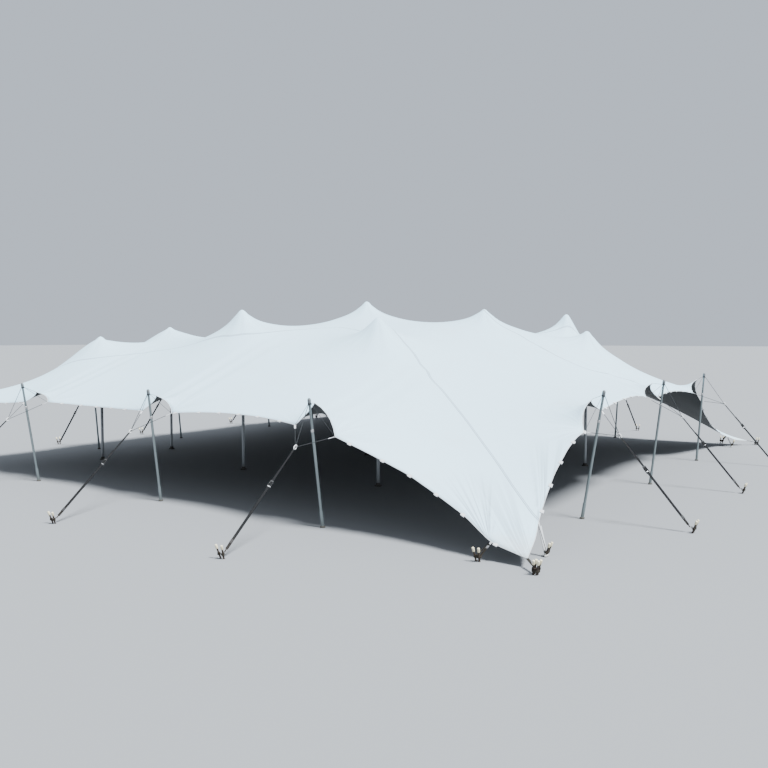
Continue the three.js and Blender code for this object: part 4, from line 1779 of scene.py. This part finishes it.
@dataclass
class Stake:
    """A round steel stake from the ground up, with a moulded head.

    Attributes:
        foot: Where it enters the ground.
        top: Its upper end.
        radius: Bar radius.
    """

    foot: Array
    top: Array
    radius: float = 0.016

    @classmethod
    def leaning(cls, angle: float, along: float, out: float, way: float) -> Stake:
        """A stake of a group, its top spread further apart and leaning out.

        Args:
            angle: Turn of the frame that it is set out in.
            along: Middle of the group in that frame.
            out: Distance of its foot out from the tent's middle.
            way: Its place in the group, in spreads from the middle.

        Returns:
            The stake.
        """
        foot = on_side(angle, along + way * STAKE_SPREAD, out, 0.0)
        top = on_side(angle, along + way * STAKE_SPREAD * 1.7, out + STAKE_LEAN, STAKE_HEIGHT)
        return cls(foot, top)

    def add_to(self, shape: Shape) -> None:
        """Adds bar, collar and head to a shape.

        Args:
            shape: What they join.
        """
        axis = self.top - self.foot
        length = float(np.linalg.norm(axis))
        r = self.radius
        bar = ((0, 0.006), (r, 0.006), (r, length - 0.06), (0, length - 0.06))
        shape.add_lathe(bar, self.foot, axis, 20, STAKE_STEEL)
        skirt = ((0, 0.0), (r * 1.35, 0.0), (r * 1.2, 0.012), (0, 0.014))
        shape.add_lathe(skirt, self.foot, UP, 20, STAKE_STEEL)
        head = (
            (0, length - 0.085), (0.02, length - 0.085), (0.0235, length - 0.078),
            (0.025, length - 0.05), (0.023, length - 0.032), (0.025, length - 0.014),
            (0.021, length - 0.004), (0.013, length), (0, length),
        )
        shape.add_lathe(head, self.foot, axis, 24, CREAM_HEAD)


def wrap(
    shape: Shape, centre: Array, angle: float, reach: Pair, width: float, finish: Surface
) -> None:
    """A flat strap wound once round a group of stakes, level with the ground.

    Its middle line is the ellipse centre + (reach[0] * cos t, reach[1] * sin t).

    Args:
        shape: What it joins.
        centre: Middle of the loop.
        angle: Turn of the frame that it is set out in.
        reach: Half its size along and outward in that frame.
        width: Height of the strap.
        finish: Finish of its faces.
    """
    turn = np.linspace(0, 2 * math.pi, 25)[:, None]
    along, outward = on_side(angle, 1, 0, 0), on_side(angle, 0, 1, 0)
    loop = centre + reach[0] * np.cos(turn) * along + reach[1] * np.sin(turn) * outward
    shape.add_band(loop, UP, width, 0.006, finish)


def rope(shape: Shape, a: Array, b: Array, radius: float) -> None:
    """A laid rope between two points, its strands shown as a twisted swell.

    The radius swells with cos (3 * angle - 90 * distance along), so that three
    strands wind round the line.

    Args:
        shape: What it joins.
        a: Its start.
        b: Its end.
        radius: Its mean radius.
    """
    count, sides = 60, 9
    run = unit(b - a)
    across = unit(np.cross(UP if abs(run[2]) < 0.9 else [1.0, 0, 0], run))
    v = np.linspace(0, 2 * math.pi, sides, endpoint=False)[None, :]
    travelled = np.linspace(0, np.linalg.norm(b - a), count)[:, None]
    swell = radius * (1 + 0.13 * np.cos(3 * v - travelled * 90.0))
    grid = rings(straight(a, b, count), across, np.cross(run, across), swell, sides)
    shape.add_closed(grid, run, run, DARK_ROPE)


@dataclass(frozen=True)
class Lay:
    """Own directions of a flat strap.

    Attributes:
        run: Along it.
        wide: Across it.
        face: Out of its face.
    """

    run: Array
    wide: Array
    face: Array

    @property
    def axes(self) -> Array:
        """The three directions as rows."""
        return np.array([self.run, self.wide, self.face])

    def off(self, at: Array, along: float, wide: float = 0.0, up: float = 0.0) -> Array:
        """A point that far from another along each direction."""
        return at + self.run * along + self.wide * wide + self.face * up


@dataclass(frozen=True)
class Ratchet:
    """A strap tightener: two side plates, spool, toothed wheels, folded handle.

    Attributes:
        plate: Size of a side plate.
        plate_at: Its distance from the middle line.
        arm: Size of an arm of the handle.
        arm_at: Its place along, across and out of the strap.
        grip: Size of the handle's grip.
        grip_at: Its place along and out of the strap.
        wheel_at: Distance of a toothed wheel from the middle line.
        spool: Place along the strap, half length and radius of the spool.
        pin: The same of the handle's pin.
    """

    plate: Triple = (0.14, 0.004, 0.036)
    plate_at: float = 0.029
    arm: Triple = (0.15, 0.003, 0.026)
    arm_at: Triple = (-0.03, 0.034, 0.012)
    grip: Triple = (0.03, 0.066, 0.02)
    grip_at: Pair = (-0.09, 0.014)
    wheel_at: float = 0.0245
    spool: Triple = (0.03, 0.038, 0.011)
    pin: Triple = (-0.06, 0.035, 0.006)

    def add_to(self, shape: Shape, at: Array, lay: Lay) -> None:
        """Adds it to a shape.

        Args:
            shape: What it joins.
            at: Its middle.
            lay: The strap's directions.
        """
        wheel = ((0, -0.003), (0.019, -0.003), (0.021, 0), (0.019, 0.003), (0, 0.003))
        along, across, out = self.arm_at
        for way in (-1, 1):
            plate = lay.off(at, 0.0, self.plate_at * way)
            shape.add_box(plate, lay.axes, self.plate, STAKE_STEEL)
            arm = lay.off(at, along, across * way, out)
            shape.add_box(arm, lay.axes, self.arm, STAKE_STEEL)
            hub = lay.off(at, self.spool[0], self.wheel_at * way)
            shape.add_lathe(wheel, hub, lay.wide, 20, BRIGHT_STEEL)
        for (place, half, radius), sides in ((self.spool, 16), (self.pin, 12)):
            bar = straight(lay.off(at, place, -half), lay.off(at, place, half), 6)
            shape.add_tube(bar, radius, BRIGHT_STEEL, sides)
        grip = lay.off(at, self.grip_at[0], 0.0, self.grip_at[1])
        shape.add_box(grip, lay.axes, self.grip, STAKE_STEEL)


@dataclass(kw_only=True)
class Guy:
    """A pole's guy: collar, ropes, ring, webbing strap, ratchet, hook, two stakes.

    Attributes:
        name: Its node.
        pole: The side pole that it holds.
        twist: Turn of the flat strap about its own length, as a slope.
        main_rope: Radius of the rope from the collar to the ring.
        tie_rope: Radius of the ropes from the ring to the hem.
        brace: Radius of the thin ropes from the collar to the notch.
        upper: Width and thickness of the strap above the ratchet.
        lower: The same of the doubled strap below it.
        tail: The same of the strap's free end.
        meet: Place of the ratchet, as a part of the way from ring to hook.
    """

    name: str
    pole: SidePole
    twist: float
    main_rope: float = 0.0065
    tie_rope: float = 0.006
    brace: float = 0.004
    upper: Pair = (0.036, 0.006)
    lower: Pair = (0.052, 0.005)
    tail: Pair = (0.045, 0.003)
    meet: float = 0.36

    def ropes(self, shape: Shape, ring: Array) -> None:
        """Adds the ropes that only this kind of guy has."""
        raise NotImplementedError

    def at(self, out: float, z: float, along: float = 0.0) -> Array:
        """A point outward of the pole's foot line, in the tent's frame."""
        return on_side(self.pole.angle, self.pole.along + along, self.pole.row.line + out, z)

    def collar(self) -> tuple[Array, Array]:
        """The rope collar's place.

        Returns:
            Its middle and the pole's upward direction.
        """
        low, high = self.pole.line()
        axis = unit(high - low)
        return high - axis * COLLAR_DOWN, axis

    def leave(self, toward: Array) -> Array:
        """Where a rope leaves the collar.

        Args:
            toward: The rope's other end.

        Returns:
            The point of the collar nearest to it.
        """
        middle, axis = self.collar()
        flat = toward - middle
        return middle + unit(flat - (flat @ axis) * axis) * 0.0385

    def build(self) -> bpy.types.Object:
        """Makes the whole guy and lets it stand for its node.

        Returns:
            The dressed guy.
        """
        shape = Shape(
            DARK_ROPE, BLACK_WEB, WHITE_RING, WHITE_WEB, STAKE_STEEL, CREAM_HEAD, BRIGHT_STEEL
        )
        row = self.pole.row
        ring = self.at(row.ring_out, row.ring_z)
        middle, axis = self.collar()
        for k in (-1.5, -0.5, 0.5, 1.5):
            shape.add_ring(middle + axis * 0.0075 * k, axis, 0.0375, 0.0052, DARK_ROPE)
        rope(shape, ring, self.leave(ring), self.main_rope)
        self.ropes(shape, ring)
        for way in (-1, 1):
            stakes_out = row.line + row.stake_out
            Stake.leaning(self.pole.angle, self.pole.along, stakes_out, way).add_to(shape)
        toward = self.at(row.stake_out, HOOK_Z) - ring
        across = self.at(0, 0, 1) - self.at(0, 0)
        shape.add_ring(ring, across, 0.034, 0.011, WHITE_RING, (1.5, 0.9), toward)
        hook = self.at(row.stake_out - 0.04, HOOK_Z)
        lay = self._lay(ring, hook)
        self._strap(shape, ring, hook, lay)
        self._hook(shape, hook, lay)
        return shape.stand_for(self.name)

    def _tie(self, shape: Shape, ring: Array, hold: Array) -> None:
        """Adds a white webbing loop at the hem and the rope from it to the ring.

        Args:
            shape: What they join.
            ring: Middle of the ring.
            hold: Point of the hem.
        """
        run = unit(ring - hold)
        tie = hold + 0.13 * run
        rope(shape, ring, tie, self.tie_rope)
        loop = straight(tie + 0.02 * run, hold, 6)
        shape.add_band(loop, np.cross(run, UP), 0.036, 0.007, WHITE_WEB)

    def _lay(self, ring: Array, hook: Array) -> Lay:
        """The strap's directions, turned about its run by the twist.

        Args:
            ring: Its upper end.
            hook: Its lower end.

        Returns:
            The directions.
        """
        run = unit(hook - ring)
        wide = on_side(self.pole.angle, 1, 0, 0)
        face = np.cross(run, wide)
        face = face if face[2] > 0 else -face
        return Lay(run, unit(wide + self.twist * face), unit(face - self.twist * wide))

    def _strap(self, shape: Shape, ring: Array, hook: Array, lay: Lay) -> None:
        """Adds the strap down to the ratchet, its tail and the doubled strap.

        Args:
            shape: What they join.
            ring: Middle of the ring.
            hook: Where the hook's shank ends.
            lay: The strap's directions.
        """
        at = ring + lay.run * float(np.linalg.norm(hook - ring)) * self.meet
        shape.add_band(straight(lay.off(ring, 0.03), at, 24), lay.wide, *self.upper, BLACK_WEB)
        for up, start in ((0.006, 0.05), (-0.004, 0.11)):
            lower = straight(lay.off(at, start, 0.0, up), lay.off(hook, -0.09, 0.0, up), 24)
            shape.add_band(lower, lay.wide, *self.lower, BLACK_WEB)
        tail = straight(lay.off(at, -0.32, 0.0, 0.012), lay.off(at, 0.06, 0.0, 0.012), 10)
        shape.add_band(tail, lay.wide, *self.tail, BLACK_WEB)
        Ratchet().add_to(shape, lay.off(at, 0.06), lay)

    def _hook(self, shape: Shape, hook: Array, lay: Lay) -> None:
        """Adds the hook, its buckle, and the bar and knots between the stakes.

        Args:
            shape: What they join.
            hook: Where the hook's shank ends.
            lay: The strap's directions.
        """
        shank = (0.008, 0.01, 0.012, 0.012, 0.012, 0.012, 0.011, 0.009)
        path = straight(lay.off(hook, -0.11), lay.off(hook, -0.02), len(shank))
        shape.add_tube(path, shank, STAKE_STEEL, 14)
        eye = lay.off(hook, -0.1)
        shape.add_ring(eye, lay.wide, 0.024, 0.006, STAKE_STEEL, (1.2, 0.8), lay.run)
        bar_out = self.pole.row.stake_out + STAKE_LEAN * 0.35
        ends = [self.at(bar_out, HOOK_Z, way * STAKE_SPREAD * 1.25) for way in (-1, 1)]
        shape.add_tube(straight(*ends, 6), 0.009, STAKE_STEEL, 14)
        for knot in ends:
            for lift in (-0.018, 0.0, 0.018):
                shape.add_ring(knot + lift * UP, UP, 0.022, 0.009, BLACK_WEB)
        buckle = lay.off(hook, -0.26, 0.0, 0.012)
        shape.add_box(buckle, lay.axes, (0.09, 0.056, 0.014), STAKE_STEEL)
        bend = (hook + (ends[0] + ends[1]) / 2) / 2
        shape.add_ring(bend, lay.wide, 0.034, 0.007, STAKE_STEEL, (1.1, 0.7), lay.run)


@dataclass(kw_only=True)
class NotchGuy(Guy):
    """The guy of a hem notch, tied to the notch's point and its two low ends.

    Attributes:
        side: The side it is on.
        notch: The notch that its pole lifts.
    """

    side: Side
    notch: Notch

    def ropes(self, shape: Shape, ring: Array) -> None:
        """Ropes to the notch's low ends from the ring and the collar, and to its point.

        Args:
            shape: What they join.
            ring: Middle of the ring.
        """
        for way in (-1, 1):
            hold = self.side.rim(self.notch.place + self.side.turn * way * NOTCH_HALF, HEM_GAP)
            self._tie(shape, ring, hold)
            rope(shape, self.leave(hold), hold, self.brace)
        point = self.side.rim(self.notch.place, 0.004)
        rope(shape, self.leave(point), point, self.brace)
        run = unit(self.leave(point) - point)
        loop = straight(point - run * 0.004, point + run * 0.05, 6)
        shape.add_band(loop, on_side(self.pole.angle, 1, 0, 0), 0.034, 0.006, WHITE_WEB)


@dataclass(kw_only=True)
class CornerGuy(Guy):
    """The guy of the raised corner, tied to its tip and to the hems beside it."""

    def ropes(self, shape: Shape, ring: Array) -> None:
        """Ropes to the tip from the collar and to each hem from the ring.

        Args:
            shape: What they join.
            ring: Middle of the ring.
        """
        for hold in (Side.FRONT.rim(-PEG_X, HEM_GAP), Side.LEFT.rim(-PEG_Y, HEM_GAP)):
            self._tie(shape, ring, hold)
        tip = on_side(self.pole.angle, 0, TIP_REACH + HEM_GAP, Side.FRONT.rim(-CORNER)[2])
        rope(shape, self.leave(tip), tip, self.tie_rope)


def knots(shape: Shape, ends: Sequence[Array]) -> None:
    """Webbing knotted round both ends of a bar between stakes."""
    for knot in ends:
        shape.add_ring(knot, ends[1] - ends[0], 0.024, 0.008, BLACK_WEB, (1.0, 0.7))


@dataclass
class CornerAnchor:
    """The hold of a corner tip: webbing to a cross bar on four stakes.

    Attributes:
        name: Its node.
        angle: Turn of the frame whose outward direction is the corner's.
        reach: Distance of the stakes from the tent's middle.
        hold_z: Height of the cross bar.
        stakes: Each stake's place in spreads along, and distance further out.
    """

    name: str
    angle: float
    reach: float = 10.17 * math.sqrt(2)
    hold_z: float = 0.11
    stakes: tuple[Pair, ...] = (
        (-0.95, 0.0), (0.95, 0.0), (0.0, 0.055), (0.0, -0.05)
    )

    def at(self, further: float, z: float, along: float = 0.0) -> Array:
        """A point further out than the stakes, in the tent's frame."""
        return on_side(self.angle, along, self.reach + further, z)

    def build(self) -> bpy.types.Object:
        """Makes the anchor and lets it stand for its node.

        Returns:
            The dressed anchor.
        """
        shape = Shape(BLACK_WEB, STAKE_STEEL, CREAM_HEAD, BRIGHT_STEEL)
        tip = on_side(self.angle, 0, TIP_REACH + 0.004, TIP_HEIGHT)
        hold = self.at(0.0, self.hold_z)
        wide = on_side(self.angle, 1, 0, 0)
        for lift in (0.006, -0.006):
            shape.add_band(straight(tip, hold, 12) + lift * UP, wide, 0.05, 0.004, BLACK_WEB)
        link = (tip + hold) / 2
        shape.add_ring(link, wide, 0.03, 0.006, BRIGHT_STEEL, (1.3, 0.7), hold - tip)
        for way, further in self.stakes:
            Stake.leaning(self.angle, 0, self.reach + further, way).add_to(shape)
        wrap(shape, self.at(0.018, 0.075), self.angle, (0.07, 0.078), 0.05, BLACK_WEB)
        ends = [self.at(0.036, self.hold_z, way * STAKE_SPREAD * 1.6) for way in (-1, 1)]
        shape.add_tube(straight(*ends, 6), 0.011, STAKE_STEEL, 14)
        shape.add_tube(straight(hold, self.at(0.1, self.hold_z), 4), 0.01, STAKE_STEEL, 14)
        knots(shape, ends)
        return shape.stand_for(self.name)


@dataclass
class CornerPeg:
    """Two stakes beside a corner, with a wide white strap and a black one to the hem.

    Attributes:
        name: Its node.
        side: The side it is on.
        place: Place of its strap along X or Y.
        back: How far its stakes are set back from that place.
        out: Distance of the stakes outside the hem.
        spread: Part of the usual spread between its stakes.
    """

    name: str
    side: Side
    place: float
    back: float
    out: float = 0.158
    spread: float = 0.8

    def middle(self) -> Pair:
        """The middle of its stakes.

        Returns:
            Its place along the side and its distance out from the tent's middle.
        """
        along = self.side.turn * (self.place - math.copysign(self.back, self.place))
        inward, _ = hem(self.side.hem, np.array([self.place]))
        return along, CORNER - inward[0] + self.out

    def at(self, further: float, z: float, off: float = 0.0) -> Array:
        """A point further out than the stakes, in the tent's frame."""
        along, out = self.middle()
        return on_side(self.side.angle, along + off, out + further, z)

    def build(self) -> bpy.types.Object:
        """Makes the peg and lets it stand for its node.

        Returns:
            The dressed peg.
        """
        shape = Shape(WHITE_WEB, BLACK_WEB, STAKE_STEEL, CREAM_HEAD, WHITE_RING, BRIGHT_STEEL)
        angle = self.side.angle
        hold = self.side.rim(self.place, HEM_GAP)
        wide = on_side(angle, 1, 0, 0)
        foot = self.at(-0.01, 0.05)
        neck = hold + (foot - hold) * 0.12
        shape.add_band(straight(hold, neck, 4), wide, 0.036, 0.008, WHITE_WEB)
        if self.side.is_end:
            lean = math.copysign(0.9, self.place) * self.side.turn
            flat = on_side(angle, 0, 1, 0) - lean * wide
            shape.add_band(straight(neck, foot, 16), flat, 0.066, 0.007, WHITE_WEB)
            wrap(shape, self.at(0.0, 0.03), angle, (0.074, 0.032), 0.036, WHITE_RING)
        else:
            shape.add_band(straight(neck, foot, 16), wide, 0.038, 0.006, BLACK_WEB)
            run = unit(foot - neck)
            lock = neck + (foot - neck) * 0.2
            axes = np.array([run, wide, np.cross(run, wide)])
            shape.add_box(lock, axes, (0.06, 0.044, 0.02), BRIGHT_STEEL)
        strap = straight(hold - 0.02 * UP, self.at(0.02, HOOK_Z), 14) + wide * 0.034
        shape.add_band(strap, wide, 0.024, 0.004, BLACK_WEB)
        wrap(shape, self.at(0.012, 0.1), angle, (0.078, 0.034), 0.05, BLACK_WEB)
        ways = (-self.spread, self.spread)
        for way in ways:
            Stake.leaning(angle, *self.middle(), way).add_to(shape)
        ends = [self.at(STAKE_LEAN * 0.35, HOOK_Z, way * STAKE_SPREAD * 1.1) for way in ways]
        shape.add_tube(straight(*ends, 6), 0.0105, STAKE_STEEL, 14)
        knots(shape, ends)
        return shape.stand_for(self.name)


@dataclass(frozen=True)
class Studio:
    """Pale floor, soft lights and the camera at the photograph's angle.

    Attributes:
        eye: Camera place.
        look: Its heading in plan.
        pitch: How far it looks down, in degrees.
        lens: Focal length on a sensor of that width.
        sensor: Width of the sensor in millimetres.
        far: How far the camera sees.
        floor_half: Half the floor's size.
        floor: The floor's colour.
        sky: The sky's colour.
        sky_power: The sky's strength.
        sun: The sun's colour.
        sun_power: The sun's strength.
        sun_size: The angle that the sun fills, in degrees.
        sun_from: Direction to the sun.
    """

    eye: Triple = (15.70, -22.96, 4.0)
    look: Pair = (-0.559, 0.829)
    pitch: float = 3.211
    lens: float = 38.44
    sensor: float = 36.0
    far: float = 600.0
    floor_half: float = 400.0
    floor: Colour = (0.26, 0.265, 0.27)
    sky: Colour = (0.78, 0.87, 1.0)
    sky_power: float = 0.8
    sun: Colour = (0.9, 0.95, 1.0)
    sun_power: float = 11.5
    sun_size: float = 16.0
    sun_from: Triple = (0.516, -0.05, 0.855)

    def build(self) -> None:
        """Makes the floor, world, lights and camera."""
        self._floor()
        self._light()
        self._camera()

    def _floor(self) -> None:
        """A wide plain floor just under the tent."""
        mesh = bpy.data.meshes.new("studio_floor")
        half = self.floor_half
        corners = [(-half, -half, 0), (half, -half, 0), (half, half, 0), (-half, half, 0)]
        mesh.from_pydata(corners, [], [(0, 1, 2, 3)])
        floor = bpy.data.objects.new("studio_floor", mesh)
        bpy.context.scene.collection.objects.link(floor)
        made = bpy.data.materials.new("pale_floor")
        made.use_nodes = True
        shader = made.node_tree.nodes["Principled BSDF"]
        shader.inputs["Base Color"].default_value = (*self.floor, 1)
        shader.inputs["Roughness"].default_value = 0.9
        mesh.materials.append(made)

    def _light(self) -> None:
        """A bright overcast sky and one broad high sun."""
        world = bpy.data.worlds.new("soft_sky")
        world.use_nodes = True
        back = world.node_tree.nodes["Background"]
        back.inputs["Color"].default_value = (*self.sky, 1)
        back.inputs["Strength"].default_value = self.sky_power
        bpy.context.scene.world = world
        lamp = bpy.data.lights.new("broad_sun", "SUN")
        lamp.energy = self.sun_power
        lamp.angle = math.radians(self.sun_size)
        lamp.color = self.sun
        sun = bpy.data.objects.new("broad_sun", lamp)
        sun.rotation_euler = Vector(self.sun_from).to_track_quat("Z", "Y").to_euler()
        bpy.context.scene.collection.objects.link(sun)

    def _camera(self) -> None:
        """The camera, level but for its pitch."""
        data = bpy.data.cameras.new("view")
        data.lens = self.lens
        data.sensor_width = self.sensor
        data.clip_end = self.far
        camera = bpy.data.objects.new("view", data)
        pitch = math.radians(self.pitch)
        flat = math.cos(pitch)
        ahead = Vector((self.look[0] * flat, self.look[1] * flat, -math.sin(pitch)))
        camera.rotation_mode = "QUATERNION"
        camera.rotation_quaternion = ahead.to_track_quat("-Z", "Y")
        camera.location = self.eye
        bpy.context.scene.collection.objects.link(camera)
        bpy.context.scene.camera = camera


def main() -> None:
    """Builds the tent's pieces in order and reports each."""
    logging.basicConfig(level=logging.INFO, format="%(name)s: %(message)s")
    made = [Canopy().build()]
    made += [KingPole(name, place).build() for name, place in KING_POLES.items()]
    stands = [(side, notch) for side in Side for notch in side.hem.notches]
    for k, (side, notch) in enumerate(stands, 1):
        along = side.turn * notch.place
        pole = SidePole(f"side_pole_{k}", side.hem.poles, side.angle, along, notch.lean)
        twist = side.strap_twist
        guy = NotchGuy(name=f"guy_set_{k}", pole=pole, twist=twist, side=side, notch=notch)
        made += [pole.build(), guy.build()]
    raised = SidePole("corner_pole", CORNER_ROW, RAISED_ANGLE, 0.0, CORNER_LEAN)
    guy = CornerGuy(name="corner_guy", pole=raised, twist=STRAP_TWIST)
    made += [raised.build(), guy.build()]
    for k, side in enumerate((Side.RIGHT, Side.BACK, Side.LEFT), 1):
        made.append(CornerAnchor(f"corner_anchor_{k}", side.angle - math.pi / 4).build())
    for k, peg in enumerate(PEGS, 1):
        made.append(CornerPeg(f"corner_peg_{k}", *peg).build())
    for obj in made:
        LOG.info("%s: %d faces", obj.name, len(obj.data.polygons))
    Studio().build()


if __name__ == "__main__":
    main()
